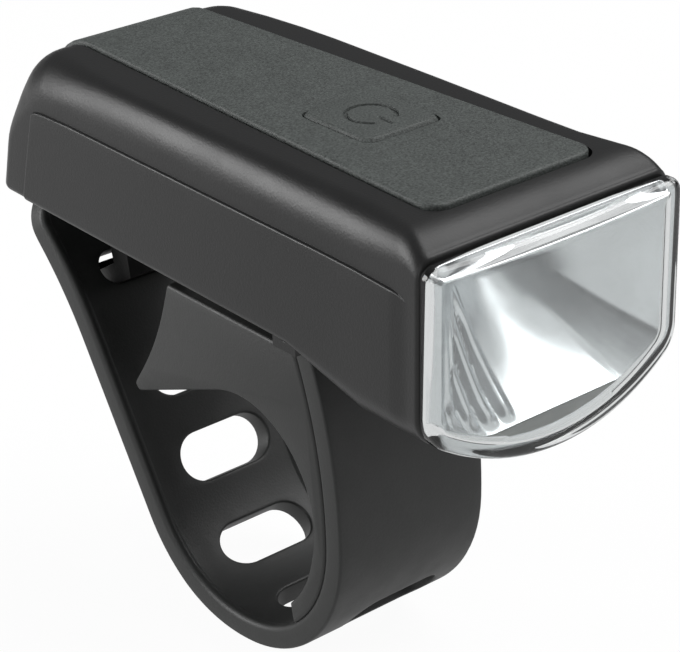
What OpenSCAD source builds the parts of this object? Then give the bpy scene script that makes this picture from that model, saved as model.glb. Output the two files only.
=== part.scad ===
// Bicycle headlight on a rubber ladder strap, in millimetres.
// The origin lies on the handlebar's axis. The lens faces -Y, +Z is up and the bar runs along X.

/* [Handlebar] */
// Diameter of the handlebar that the strap goes round
bar_d = 25.4; // [22.2:0.1:31.8]
// Clearance of the saddle's seat round the bar
bar_gap = 0.06; // [0.02:0.01:0.1]

/* [Housing] */
// From the bar's axis forward to the lens seam
front_reach = 38.2; // [36:0.1:45]
// From the bar's axis back to the rear end of the underside
rear_reach = 40.8; // [38:0.1:47]
// Width at the lens
body_w = 35.8; // [35:0.1:40]
// Width at the rear end
rear_w = 32; // [31:0.1:36]
// Height of the rear half, from its underside to its top face
body_h = 19.6; // [19:0.1:24]
// From the saddle's seat up to the underside
saddle_h = 15.1; // [13:0.1:18]
// How far the belly under the lens hangs below the underside
belly_drop = 8.2; // [7:0.1:9]
// Radius of the belly's curved bottom
belly_r = 30; // [26:0.5:60]
// Radius of the belly's lower corners
corner_r = 4; // [2.5:0.1:5]
// Radius of the long top edges
top_r = 3.4; // [3:0.1:5]
// Wall of the sides and the belly
wall = 1.8; // [1.4:0.1:2.2]
// Wall left under the recess of the top pad
lid_wall = 1.5; // [1.2:0.1:1.8]
// Length of the brow that falls from the top face to the lens
brow_l = 4.8; // [4:0.1:6]
// Radius of the brow
brow_r = 6.2; // [6:0.1:10]
// Radius where the top face turns into the rear face
rear_r = 8; // [7:0.1:11]
// Lean of the rear face, in degrees from upright
rear_lean = 13; // [10:0.1:20]
// Radius of the rear corners in plan
rear_corner_r = 2.6; // [2.2:0.1:6]
// Length of the curved step between the belly and the underside
step_l = 10; // [8:0.1:12]
// From the bar's axis forward to the rear end of that step
step_reach = 16.6; // [15:0.1:18]
// Thickness of the cover that closes the underside
cover_t = 1.8; // [1.5:0.1:2.2]
// Play between pieces that are fitted together and stay put
seat_gap = 0.15; // [0.1:0.01:0.2]

/* [Lens and reflector] */
// Depth of the lens rim in front of its seal
lens_t = 1.6; // [1.4:0.1:2]
// How much further the bottom of the lens stands out than its top
lens_rake = 0.4; // [0.2:0.1:0.8]
// How much further the middle of the lens stands out than its sides
lens_bulge = 0.9; // [0.5:0.1:1.4]
// Thickness of the lens face
lens_face_t = 1.2; // [1:0.1:1.3]
// Thickness of the seal behind the lens
seal_t = 0.5; // [0.3:0.05:0.8]
// Height of the lens top below the top face
lens_top_drop = 2.3; // [2:0.1:2.6]
// How far the reflector reaches out of the housing into the lens
reflector_out = 0.7; // [0.5:0.1:1]
// Depth of the reflector bowl
bowl_depth = 13.5; // [12:0.1:13.8]
// Focal length of the reflector bowl
focal = 4; // [3.5:0.1:4.5]
// Thickness of the reflector shell and its rim
reflector_t = 1.2; // [1:0.1:1.5]
// Thickness of the reflector's floor
floor_t = 1.2; // [1:0.1:1.4]
// Height of the chin under the reflector, above the belly's lowest point
chin_rise = 3.8; // [3.6:0.1:4.4]
// Depth of the chin from front to back
chin_l = 4; // [3:0.1:5]
// Thickness of the chin's front lip
chin_lip = 1; // [0.8:0.1:1.4]
// Side of the light-emitting chip
chip_w = 3.2; // [2.6:0.1:3.6]
// Thickness of the lamp board and of the heat sink under it
lamp_board_t = 1; // [0.8:0.1:1.2]

/* [Top pad and button] */
// Width of the pad at the front
pad_front_w = 23.8; // [22:0.1:25]
// Width of the pad where it turns down at the rear
pad_rear_w = 17.8; // [16:0.1:22]
// From the lens seam back to the pad
pad_setback = 4.8; // [4.6:0.1:6]
// Depth of the pad's recess
pad_depth = 1; // [0.8:0.1:1.2]
// How far the pad stands above the housing
pad_proud = 0.5; // [0.3:0.1:0.8]
// Width of the open line round the pad
pad_gap = 0.25; // [0.15:0.05:0.4]
// Width of the power button
button_w = 11; // [10:0.1:12]
// Length of the power button
button_l = 11.6; // [10:0.1:12]
// From the bar's axis forward to the button's centre
button_reach = 10.6; // [10:0.1:11]
// Travel of the power button
button_travel = 0.6; // [0.4:0.05:0.8]
// Running gap round the button
button_gap = 0.2; // [0.15:0.05:0.3]
// Length of the charge flap on the rear face
flap_l = 10.4; // [9:0.1:12]
// Width of the charge socket's opening
port_w = 8.6; // [8.4:0.1:10]

/* [Electronics] */
// Thickness of the circuit board
board_t = 1.2; // [1:0.1:1.6]
// Width of the circuit board
board_w = 19.4; // [18:0.1:19.6]
// Width of the battery cell
cell_w = 19; // [16:0.1:19.4]
// Length of the battery cell
cell_l = 36; // [30:0.1:36]
// Thickness of the battery cell
cell_t = 7.2; // [6:0.1:7.6]
// Thickness of the foam under the battery cell
foam_t = 0.5; // [0.4:0.1:0.8]
// Diameter of an insulated lead
lead_d = 1; // [0.8:0.1:1.2]

/* [Fasteners] */
// Shank diameter of the board and cover screws
screw_d = 1.8; // [1.6:0.1:2]
// Head diameter of the board and cover screws
screw_head_d = 3.4; // [3:0.1:3.6]
// Head height of every screw
screw_head_t = 1; // [0.8:0.1:1.2]
// Shank diameter of the saddle screws
saddle_screw_d = 2.5; // [2:0.1:3]
// Head diameter of the saddle screws
saddle_head_d = 4.8; // [4.4:0.1:5.2]
// Diameter of the pin that holds the strap's fixed end
pin_d = 1.6; // [1.4:0.1:2]

/* [Saddle and strap] */
// Width of the strap and the saddle
strap_w = 22.4; // [21:0.1:25]
// Thickness of the strap
strap_t = 2.4; // [2:0.1:2.8]
// Thickness of the saddle's front leg
leg_t = 2.1; // [1.8:0.1:2.6]
// Open line between the front leg and the strap
layer_gap = 0.3; // [0.2:0.05:0.4]
// Room under the bar inside the loop
bottom_room = 5.9; // [4:0.1:7]
// Room behind the bar inside the loop
rear_room = 6.8; // [4.5:0.1:7.5]
// Radius of the strap's front run
front_run_r = 62; // [55:1:90]
// Lean of the strap's tail, in degrees from upright
tail_lean = 32; // [30:0.1:33]
// Length of the tail from the bend line to its end
tail_l = 43.8; // [42:0.1:44.5]
// Corner radius of the tail's end
tail_corner_r = 5; // [3:0.1:7]
// Length of a ladder slot along the bar
slot_w = 13.6; // [12:0.1:15]
// Height of a ladder slot along the strap
slot_h = 6.4; // [5.8:0.1:6.8]
// Spacing of the ladder slots along the strap
slot_pitch = 12.9; // [12.4:0.1:13.2]
// Open line at the strap's bend
bend_gap = 0.3; // [0.2:0.05:0.4]
// Rear tip of the saddle, behind the bar's axis
saddle_tip = 20.4; // [18:0.1:21]
// Height of the cover's foot that the saddle is screwed to
foot_h = 5.2; // [4.8:0.1:6]
// Height of the strap hook's peg along the strap
peg_h = 2.6; // [2:0.1:2.8]

/* [Hidden] */
$fn = 48;
// Spare length that lets a cut pass right through a wall
over = 1;

// Heights and reaches of the housing
bar_r = bar_d / 2;
seat_r = bar_r + bar_gap;
underside_z = bar_r + saddle_h;
top_z = underside_z + body_h;
belly_z = underside_z - belly_drop;
front_y = -front_reach;
lid_t = pad_depth + lid_wall;
ceiling_z = top_z - lid_t;
lens_top_z = top_z - lens_top_drop;
// The step runs on below the belly's lowest point, where the front outline cuts it off
step_spare = 0.7;
step_drop = belly_drop + step_spare;
rear_c = [rear_reach - (rear_r - (underside_z - top_z + rear_r) * sin(rear_lean)) / cos(rear_lean),
    top_z - rear_r];

// Points of an arc about c, from angle a0 to a1
function arc(c, r, a0, a1, n = 10) = [for (i = [0:n]) let (a = a0 + (a1 - a0) * i / n)
    c + r * [cos(a), sin(a)]];

// Soft step from 0 to 1
function ease(t) = t * t * (3 - 2 * t);

// A point on the rear face: u along it below the round edge, v outside the housing's skin
function rear_point(u, v) = rear_c + (rear_r + v) * [cos(rear_lean), sin(rear_lean)]
    + u * [sin(rear_lean), -cos(rear_lean)];

// Place along Y of the rear face at height z, g inside the skin
function rear_y(z, g) = rear_c[0] + (rear_r - g - (z - rear_c[1]) * sin(rear_lean)) / cos(rear_lean);

// The curved step of the underside, g inside the skin, from the belly back
function step_points(g, n = 10) = [for (i = [n:-1:0]) let (t = i / n)
    [-step_reach - step_l * t - g, underside_z - step_drop * ease(t) + g]];

// Side outline of the housing's skin
function side_skin() = concat([[front_y, underside_z - step_drop]], step_points(0),
    [[rear_reach, underside_z]], arc(rear_c, rear_r, rear_lean, 90),
    arc([front_y + brow_l, top_z - brow_r], brow_r, 90, acos(-brow_l / brow_r)));

// Side outline of the space inside, where the belly and the step are g thick
function side_space(g) = concat([[front_y - over, underside_z - step_drop + g]], step_points(g),
    [[rear_y(underside_z + g, lid_t), underside_z + g]], arc(rear_c, rear_r - lid_t, rear_lean, 90),
    [[front_y + brow_l, ceiling_z], [front_y - over, lens_top_z - wall]]);

// Front outline, g inside the skin: round top edges, upright sides and a curved belly
belly_c = [0, belly_z + belly_r];
corner_x = body_w / 2 - corner_r;
corner_z = belly_c[1] - sqrt(pow(belly_r - corner_r, 2) - pow(corner_x, 2));
corner_a = atan2(corner_z - belly_c[1], corner_x);
top_c = [body_w / 2 - top_r, top_z - top_r];
function front_outline(g) = concat(arc(top_c, top_r - g, 0, 90),
    arc([-top_c[0], top_c[1]], top_r - g, 90, 180),
    arc([-corner_x, corner_z], corner_r - g, 180, 180 - corner_a),
    arc(belly_c, belly_r - g, 180 - corner_a, 360 + corner_a),
    arc([corner_x, corner_z], corner_r - g, 360 + corner_a, 360));

// Plan outline, g inside the skin: it narrows to the rear and has round rear corners
plan_c = [rear_w / 2 - rear_corner_r, rear_reach - rear_corner_r];
function plan_outline(g) = concat([[body_w / 2 - g, front_y - over], [body_w / 2 - g, front_y]],
    arc(plan_c, rear_corner_r - g, 0, 90), arc([-plan_c[0], plan_c[1]], rear_corner_r - g, 90, 180),
    [[-body_w / 2 + g, front_y], [-body_w / 2 + g, front_y - over]]);

// A drawing in Y and Z, carried along X over a length that is centred
module along_x(l) { rotate([90, 0, 90]) linear_extrude(l, center = true) children(); }
// A drawing in X and Z, carried along Y from y0 to y1
module along_y(y0, y1) { translate([0, y1, 0]) rotate([90, 0, 0]) linear_extrude(y1 - y0) children(); }
// A drawing in X and Y, carried up from z0 to z1
module along_z(z0, z1) { translate([0, 0, z0]) linear_extrude(z1 - z0) children(); }
// A box between two corners
module box(a, b) { translate(a) cube(b - a); }
// A copy on each side of the middle plane
module both_sides() { children(); mirror([1, 0, 0]) children(); }

module skin() {
    intersection() {
        along_x(body_w + 2 * over) polygon(side_skin());
        along_y(front_y - over, rear_reach + over) polygon(front_outline(0));
        along_z(belly_z - over, top_z + over) polygon(plan_outline(0));
    }
}

module inner_space() {
    intersection() {
        along_x(body_w) polygon(side_space(wall));
        along_y(front_y - over, rear_reach) polygon(front_outline(wall));
        along_z(belly_z, top_z) polygon(plan_outline(wall));
    }
}

// Opening of the underside, or the cover's plate where it has a gap
opening_front_y = -step_reach + wall;
module underside_opening(gap, z0, z1) {
    intersection() {
        along_x(body_w) polygon([[opening_front_y + gap, z0], [rear_y(z0, lid_t + gap), z0],
            [rear_y(z1, lid_t + gap), z1], [opening_front_y + gap, z1]]);
        along_z(z0, z1) polygon(plan_outline(wall + gap));
    }
}

// Stack of pieces between the ceiling and the circuit board
flange_t = 0.8;
flange_rim = 1;
switch_w = 6;
switch_h = 2.2;
plunger_d = 3;
plunger_spare = 0.5;
plunger_out = button_travel + plunger_spare;
flange_z = ceiling_z - seat_gap;
plunger_top_z = flange_z - flange_t;
board_top_z = plunger_top_z - plunger_out - switch_h;
board_z = board_top_z - board_t;
button_y = -button_reach;

// The charge socket lies under the board and looks back through the rear face
socket_w = 7.6;
socket_h = 2.7;
socket_l = 5.6;
socket_wall = 0.35;
tongue_t = 0.6;
port_below = 1.1;
port_above = 0.4;
socket_z = board_z - socket_h;
socket_y = rear_y(board_z - socket_h / 2, lid_t) - seat_gap - socket_l;

// Places of the screws, with room round the board and round a screw's head and end
board_gap = 0.5;
head_gap = 0.4;
boss_wall = 1.1;
boss_r = screw_d / 2 + boss_wall;
board_screw_x = 7;
board_screw_ys = [button_y - button_l / 2 - flange_rim - boss_r - board_gap, socket_y - boss_r - board_gap];
cover_screw_x = rear_w / 2 - wall - screw_head_d / 2 - head_gap;
cover_screw_ys = [-3, 27.2];
screw_fit = 0.03;
board_screw_l = 3.6;
cover_screw_l = 6.4;

module at_board_screws() {
    for (y = board_screw_ys) both_sides() translate([board_screw_x, y, 0]) children();
}
module at_cover_screws() {
    for (y = cover_screw_ys) both_sides() translate([cover_screw_x, y, 0]) children();
}

// A pillar that hangs from the lid down to z0, with a blind bore for its screw
module boss(z0, bore_l) {
    difference() {
        translate([0, 0, z0]) cylinder(h = top_z - z0, r = boss_r);
        translate([0, 0, z0 - over]) cylinder(h = bore_l + over, d = screw_d + 2 * screw_fit);
    }
}

// A pan-head screw that points up from its seat at z = 0
module pan_screw(d, l, head_d) {
    translate([0, 0, -screw_head_t]) cylinder(h = screw_head_t, d = head_d);
    cylinder(h = l, d = d);
}

// Plan of the pad, grown by e
pad_front_y = front_y + pad_setback;
pad_corner_r = 2.3;
pad_far_y = rear_reach + 2 * over;
function pad_plan(e) = let (c = [pad_front_w / 2 - pad_corner_r, pad_front_y + pad_corner_r])
    concat(arc(c, pad_corner_r + e, 270, 360, 6),
    [[pad_rear_w / 2 + e, rear_c[0]], [pad_rear_w / 2 + e, pad_far_y],
    [-pad_rear_w / 2 - e, pad_far_y], [-pad_rear_w / 2 - e, rear_c[0]]],
    arc([-c[0], c[1]], pad_corner_r + e, 180, 270, 6));

// Side outline of a layer that lies on the top face and the rear face down to u
function layer_side(u, v0, v1) = concat([[pad_front_y - over, top_z + v1]],
    arc(rear_c, rear_r + v1, 90, rear_lean), [rear_point(u, v1), rear_point(u, v0)],
    arc(rear_c, rear_r + v0, rear_lean, 90), [[pad_front_y - over, top_z + v0]]);
flap_u = 0.7;

module pad_layer(u, v0, v1, e) {
    intersection() {
        along_x(body_w) polygon(layer_side(u, v0, v1));
        along_z(underside_z, top_z + 2 * over) polygon(pad_plan(e));
    }
}

module button_hole(e, z0, z1) {
    box([-button_w / 2 - e, button_y - button_l / 2 - e, z0],
        [button_w / 2 + e, button_y + button_l / 2 + e, z1]);
}

module main_housing() {
    color("#3b3c3c") difference() {
        union() {
            difference() {
                skin();
                inner_space();
                underside_opening(0, underside_z - over, underside_z + wall + over);
            }
            intersection() {
                skin();
                union() {
                    at_board_screws() boss(board_top_z, board_screw_l);
                    at_cover_screws() boss(underside_z + cover_t, cover_screw_l);
                }
            }
        }
        pad_layer(flap_u + flap_l + 2 * pad_gap, -pad_depth, 3 * over, pad_gap);
        button_hole(button_gap, ceiling_z - over, top_z + over);
        box([-port_w / 2, socket_y + socket_l - over, socket_z - port_below],
            [port_w / 2, rear_reach + over, board_z + port_above]);
    }
}

// The strap's path: a front run, a round bottom and a straight leaning tail
tail_n = [cos(tail_lean), -sin(tail_lean)];
tail_d = [sin(tail_lean), cos(tail_lean)];
front_mid = seat_r + leg_t + layer_gap + strap_t / 2;
bottom_mid = bar_r + bottom_room + strap_t / 2;
rear_mid = bar_r + rear_room + strap_t / 2;
loop_r = (rear_mid + front_mid * tail_n[0] + bottom_mid * tail_n[1]) / (1 + tail_n[0] + tail_n[1]);
loop_c = [loop_r - front_mid, loop_r - bottom_mid];
run_c = [front_run_r - front_mid, loop_c[1]];
bend = loop_c + loop_r * tail_n;

// The pin at the top of the front run, between two lugs of the cover
pin_drop = 2.5;
bead_r = 2;
pin_z = underside_z - pin_drop;
pin_y = run_c[0] - sqrt(pow(front_run_r, 2) - pow(pin_z - run_c[1], 2));
lug_t = 1.4;
lug_x = strap_w / 2 + seat_gap;
foot_w = 2 * (cover_screw_x - screw_head_d / 2 - head_gap);
foot_front_y = pin_y + bead_r + layer_gap;
foot_rear_y = 11.6;
foot_z = underside_z - foot_h;
saddle_screw_x = 6;
saddle_screw_y = 8.4;
// Rubber between the screw heads and the foot
saddle_flange_t = 5;
saddle_seat_z = foot_z - saddle_flange_t;
saddle_screw_l = underside_z + cover_t - head_gap - saddle_seat_z;

// The hook: an upright web inside the strap and a peg through the third slot of the tail
slot_first = 5.8;
peg_s = slot_first + 2 * slot_pitch;
// Room under the peg and beside it in the slot's round ends
peg_room = 0.9;
peg_side_gap = 0.6;
peg_s0 = peg_s - slot_h / 2 + peg_room;
peg_s1 = peg_s0 + peg_h;
peg_w = slot_w - slot_h + 2 * sqrt(slot_h * peg_room - peg_room * peg_room) - 2 * peg_side_gap;
hook_web_t = 2.4;
hook_clear = 0.5;
peg_out = 2.2;
lip_h = 0.9;
lip_t = 1;

// A drawing along the tail: x runs up the strap and y out of it, from the bend on its middle surface
function on_tail(s, v) = bend + s * tail_d + v * tail_n;

module strap_hook() {
    web_v = -strap_t / 2 - hook_clear;
    peg_end = strap_t / 2 + peg_out;
    web_y = on_tail(peg_s + slot_h, web_v)[0];
    along_x(peg_w) polygon([on_tail(peg_s0, web_v - hook_web_t), on_tail(peg_s0, peg_end),
        on_tail(peg_s1 + lip_h, peg_end), on_tail(peg_s1 + lip_h, peg_end - lip_t),
        on_tail(peg_s1, peg_end - lip_t), on_tail(peg_s1, web_v),
        [web_y, underside_z + over], [web_y - 2 * hook_web_t, underside_z + over]]);
}

module bottom_cover() {
    color("#2f3030") difference() {
        union() {
            underside_opening(seat_gap, underside_z, underside_z + cover_t);
            box([-foot_w / 2, foot_front_y, foot_z], [foot_w / 2, foot_rear_y, underside_z + over]);
            both_sides() difference() {
                box([lug_x, pin_y - bead_r, pin_z - bead_r],
                    [lug_x + lug_t, pin_y + bead_r, underside_z + over]);
                translate([lug_x - over, pin_y, pin_z]) rotate([0, 90, 0])
                    cylinder(h = lug_t + 2 * over, d = pin_d + 2 * screw_fit);
            }
            strap_hook();
        }
        at_cover_screws() {
            translate([0, 0, underside_z]) cylinder(h = cover_t + over, d = screw_d + 2 * screw_fit);
            translate([0, 0, underside_z - over])
                cylinder(h = screw_head_t + over, d = screw_head_d + seat_gap);
        }
        both_sides() translate([saddle_screw_x, saddle_screw_y, foot_z - over])
            cylinder(h = foot_h + cover_t + 2 * over, d = saddle_screw_d + 2 * screw_fit);
    }
}

// Outline of the lens, g inside the skin, with its flat top
module lens_outline(g) {
    intersection() {
        polygon(front_outline(g));
        translate([-body_w / 2, belly_z - over]) square([body_w, lens_top_z - g - belly_z + over]);
    }
}

// Side of the raked lens front: v is the depth behind its outer face
lens_back_y = front_y - seal_t;
lens_mid_y = lens_back_y - lens_t - lens_bulge;
function lens_side(v) = [[lens_back_y + 2 * over, lens_top_z + over], [lens_mid_y + v, lens_top_z + over],
    [lens_mid_y - lens_rake + v, belly_z - over], [lens_back_y + 2 * over, belly_z - over]];
// Plan of the bulged lens front: an arc through its two sides and its middle
lens_half_w = body_w / 2;
lens_plan_r = (pow(lens_half_w, 2) + pow(lens_bulge, 2)) / (2 * lens_bulge);
lens_plan_a = asin(lens_half_w / lens_plan_r);
function lens_plan(v) = concat(
    [[lens_half_w, lens_back_y + 2 * over], [-lens_half_w, lens_back_y + 2 * over]],
    arc([0, lens_mid_y - lens_rake + lens_plan_r], lens_plan_r - v, 270 - lens_plan_a, 270 + lens_plan_a));
lens_rim = 1.6;
module lens_front(v, g, y_end) {
    intersection() {
        along_x(body_w + over) polygon(lens_side(v));
        along_z(belly_z - over, top_z) polygon(lens_plan(v));
        along_y(lens_mid_y - 2 * lens_rake - over, y_end) lens_outline(g);
    }
}

module front_lens() {
    color("#dfe6ea", 0.5) difference() {
        lens_front(0, 0, lens_back_y);
        lens_front(lens_face_t, lens_rim, lens_back_y + over);
    }
}

module lens_seal() {
    color("#141414") along_y(lens_back_y, front_y) difference() {
        lens_outline(seat_gap);
        lens_outline(wall);
    }
}

// The bowl is a paraboloid about a line along Y, with a floor that starts behind the chin's lip
rim_y = front_y - reflector_out;
vertex_y = rim_y + bowl_depth;
chin_z = belly_z + chin_rise;
axis_z = (chin_z + lens_top_z - wall) / 2;
floor_front_y = rim_y + chin_lip + seat_gap;
bowl_back_y = vertex_y + 2 * reflector_t;
bowl_r = sqrt(4 * focal * bowl_depth);
bowl_steps = 14;
module bowl(t) {
    translate([0, vertex_y, axis_z]) rotate([90, 0, 0]) rotate_extrude() polygon(concat([[0, -t]],
        [for (i = [1:bowl_steps]) let (r = bowl_r * i / bowl_steps) [r + t, r * r / (4 * focal) - t]],
        [[bowl_r + t, bowl_depth + over], [0, bowl_depth + over]]));
}

// The lamp looks forward through the back of the bowl, with its board and heat sink behind it
chip_gap = 0.4;
chip_h = 0.7;
chip_dome_r = 1.1;
dome_sink = 0.25;
lamp_y = vertex_y + reflector_t + seat_gap;
lamp_board_w = 18;
lamp_board_h = 9;
sink_w = 14;
sink_h = 8;
lead_x = lamp_board_w / 2 - lead_d;
lead_y = lamp_y + lamp_board_t + lead_d / 2;
lead_z = axis_z + lamp_board_h / 2 - 2 * lead_d;

module reflector() {
    window = chip_w / 2 + chip_gap;
    color("#c9ccd0") difference() {
        intersection() {
            union() {
                bowl(reflector_t);
                along_y(rim_y, rim_y + reflector_t) lens_outline(wall);
            }
            along_y(rim_y, bowl_back_y) lens_outline(wall + seat_gap);
            along_x(body_w) polygon([[rim_y, top_z], [rim_y, chin_z], [floor_front_y, chin_z],
                [floor_front_y, chin_z - floor_t], [bowl_back_y, chin_z - floor_t], [bowl_back_y, top_z]]);
        }
        intersection() {
            bowl(0);
            box([-body_w, front_y - over, chin_z], [body_w, vertex_y + over, top_z]);
        }
        box([-window, vertex_y - over, axis_z - window], [window, bowl_back_y, axis_z + window]);
    }
}

module lamp_chin() {
    ledge_z = chin_z - floor_t - seat_gap;
    color("#5c6064") intersection() {
        along_x(body_w) polygon([[rim_y, belly_z], [rim_y, chin_z - seat_gap],
            [rim_y + chin_lip, chin_z - seat_gap], [rim_y + chin_lip, ledge_z],
            [rim_y + chin_l, ledge_z], [rim_y + chin_l, belly_z]]);
        along_y(rim_y, vertex_y) lens_outline(wall + seat_gap);
    }
}

module led_emitter() {
    color("#e8d26a") translate([0, lamp_y, axis_z]) rotate([90, 0, 0]) {
        box([-chip_w / 2, -chip_w / 2, 0], [chip_w / 2, chip_w / 2, chip_h]);
        intersection() {
            translate([0, 0, chip_h - dome_sink]) sphere(r = chip_dome_r);
            box([-chip_w, -chip_w, chip_h / 2], [chip_w, chip_w, chip_h + chip_dome_r]);
        }
    }
}

module led_board() {
    color("#e4e6e2") box([-lamp_board_w / 2, lamp_y, axis_z - lamp_board_h / 2],
        [lamp_board_w / 2, lamp_y + lamp_board_t, axis_z + lamp_board_h / 2]);
}

module heat_sink() {
    color("#a9adb1") box([-sink_w / 2, lamp_y + lamp_board_t, axis_z - sink_h / 2],
        [sink_w / 2, lamp_y + 2 * lamp_board_t, axis_z + sink_h / 2]);
}

// A lead that rises from z0 to z1 at x, y and then runs along Y to y_end
module bent_lead(x, y, z0, z1, y_end) {
    translate([x, y, z0]) cylinder(h = z1 - z0, d = lead_d);
    translate([x, y, z1]) sphere(d = lead_d);
    translate([x, y, z1]) rotate([y_end > y ? -90 : 90, 0, 0]) cylinder(h = abs(y_end - y), d = lead_d);
}

board_front_y = board_screw_ys[0] - boss_r;
board_rear_y = rear_y(board_top_z, lid_t) - board_gap;
module led_leads() {
    color("#8f2020") both_sides()
        bent_lead(lead_x, lead_y, lead_z, board_z + board_t / 2, board_front_y);
}

module top_pad() {
    color("#545856") difference() {
        intersection() {
            pad_layer(flap_u - bend_gap / 2, -pad_depth, pad_proud, 0);
            box([-body_w, pad_front_y, underside_z], [body_w, rear_reach + over, top_z + over]);
        }
        button_hole(button_gap, top_z - pad_depth - over, top_z + over);
    }
}

// The key passes through the lid, with a rim below it and a power mark sunk in its face
mark_r = 3;
mark_line = 0.7;
mark_sink = 0.25;
mark_gap = 1.5;
module power_mark() {
    difference() {
        cylinder(h = over, r = mark_r);
        translate([0, 0, -over]) cylinder(h = 3 * over, r = mark_r - mark_line);
        box([-mark_gap, -2 * mark_r, -over], [mark_gap, 0, 2 * over]);
    }
    box([-mark_line / 2, -mark_r - mark_line, 0], [mark_line / 2, -mark_r / 3, over]);
}

module power_button() {
    color("#50544f") difference() {
        union() {
            button_hole(0, flange_z - flange_t, top_z + pad_proud);
            button_hole(flange_rim, flange_z - flange_t, flange_z);
        }
        translate([0, button_y, top_z + pad_proud - mark_sink]) power_mark();
    }
}

module switch_plunger() {
    color("#1c1c1c") translate([0, button_y, plunger_top_z - plunger_out - button_travel])
        cylinder(h = plunger_out + button_travel, d = plunger_d);
}

module tact_switch() {
    color("#b9bcbf") difference() {
        box([-switch_w / 2, button_y - switch_w / 2, board_top_z],
            [switch_w / 2, button_y + switch_w / 2, board_top_z + switch_h]);
        translate([0, button_y, board_top_z + switch_h - 2 * button_travel - seat_gap])
            cylinder(h = switch_h, d = plunger_d + 2 * button_gap);
    }
}

module circuit_board() {
    color("#1f5a34") difference() {
        box([-board_w / 2, board_front_y, board_z], [board_w / 2, board_rear_y, board_top_z]);
        at_board_screws() translate([0, 0, board_z - over])
            cylinder(h = board_t + 2 * over, d = screw_d + seat_gap);
    }
}

module usb_socket() {
    color("#b4b8bc") difference() {
        box([-socket_w / 2, socket_y, socket_z], [socket_w / 2, socket_y + socket_l, board_z]);
        box([-socket_w / 2 + socket_wall, socket_y + over, socket_z + socket_wall],
            [socket_w / 2 - socket_wall, socket_y + socket_l + over, board_z - socket_wall]);
    }
    color("#222222") box([-socket_w / 4, socket_y + over / 2, socket_z + (socket_h - tongue_t) / 2],
        [socket_w / 4, socket_y + socket_l - over, socket_z + (socket_h + tongue_t) / 2]);
}

// The flap hangs from a bend line at the pad's rear end, and its plug closes the socket's opening
flap_lift = 0.1;
plug_u = [2.6, 4.7];
plug_deep = 0.9;
module charge_flap() {
    color("#545856") intersection() {
        union() {
            along_x(body_w) polygon([rear_point(flap_u + bend_gap / 2, pad_proud),
                rear_point(flap_u + flap_l, pad_proud), rear_point(flap_u + flap_l, flap_lift - pad_depth),
                rear_point(flap_u + bend_gap / 2, flap_lift - pad_depth)]);
            along_x(port_w - 4 * seat_gap) polygon([rear_point(plug_u[0], 0), rear_point(plug_u[1], 0),
                rear_point(plug_u[1], -pad_depth - plug_deep),
                rear_point(plug_u[0], -pad_depth - plug_deep)]);
        }
        along_z(underside_z, top_z) polygon(pad_plan(0));
    }
}

// Room behind the cell, in front of the charge socket
cell_back = 3.9;
cell_y = socket_y - cell_back - cell_l / 2;
cell_z = underside_z + cover_t + foam_t;
module battery_cell() {
    color("#3f6ea8") box([-cell_w / 2, cell_y - cell_l / 2, cell_z],
        [cell_w / 2, cell_y + cell_l / 2, cell_z + cell_t]);
}

module battery_foam() {
    color("#26282a") box([-cell_w / 2, cell_y - cell_l / 2, cell_z - foam_t],
        [cell_w / 2, cell_y + cell_l / 2, cell_z]);
}

module battery_leads() {
    cell_front_y = cell_y - cell_l / 2;
    color("#22252a") both_sides() mirror([0, 0, 1]) bent_lead(board_screw_x / 2, cell_front_y - lead_d,
        -board_z, -cell_z - cell_t / 2, cell_front_y);
}

module board_screws() {
    color("#9da1a5") at_board_screws() translate([0, 0, board_z])
        pan_screw(screw_d, board_t + board_screw_l - 2 * seat_gap, screw_head_d);
}

module cover_screws() {
    color("#9da1a5") at_cover_screws() translate([0, 0, underside_z + screw_head_t])
        pan_screw(screw_d, cover_t - screw_head_t + cover_screw_l - 2 * seat_gap, screw_head_d);
}

// The saddle: a seat round the bar, a ramp to the rear tip and a thin leg down the front
seat_a = [68, 196];
leg_end_a = 230;
leg_taper_a = 5;
saddle_top_rear_y = 13.6;
tip_t = 0.9;
leg_out_r = loop_r - strap_t / 2 - layer_gap;
run_in_r = front_run_r - strap_t / 2 - layer_gap;
seat_low = seat_r * [cos(seat_a[1]), sin(seat_a[1])] - loop_c;
ramp_start = seat_r * [cos(seat_a[0]), sin(seat_a[0])];
ramp_end = ramp_start + (saddle_tip - ramp_start[0]) * [1, -1 / tan(seat_a[0])];
module bar_saddle() {
    color("#3a3b3a") difference() {
        along_x(strap_w) polygon(concat(
            [[saddle_top_rear_y, foot_z]],
            arc(run_c, run_in_r, 180 - asin((foot_z - run_c[1]) / run_in_r), 180),
            arc(loop_c, leg_out_r, 180, leg_end_a),
            arc(loop_c, norm(seat_low), leg_end_a - leg_taper_a, 360 + atan2(seat_low[1], seat_low[0])),
            [ramp_start, ramp_end, ramp_end + tip_t * [1, 1]]));
        rotate([0, 90, 0]) cylinder(h = strap_w + 2 * over, r = seat_r, center = true, $fn = 96);
        both_sides() translate([saddle_screw_x, saddle_screw_y, 0]) {
            cylinder(h = saddle_seat_z, d = saddle_head_d + 4 * seat_gap);
            cylinder(h = foot_z + over, d = saddle_screw_d + 2 * seat_gap);
        }
    }
}

module saddle_screws() {
    color("#9da1a5") both_sides() translate([saddle_screw_x, saddle_screw_y, saddle_seat_z])
        pan_screw(saddle_screw_d, saddle_screw_l, saddle_head_d);
}

// A ladder slot through the strap: long along X, with round ends, cut along Z
module slot() {
    r = slot_h / 2;
    both_sides() translate([slot_w / 2 - r, 0, 0]) cylinder(h = 4 * strap_t, r = r, center = true);
    cube([slot_w - slot_h, slot_h, 4 * strap_t], center = true);
}

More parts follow.
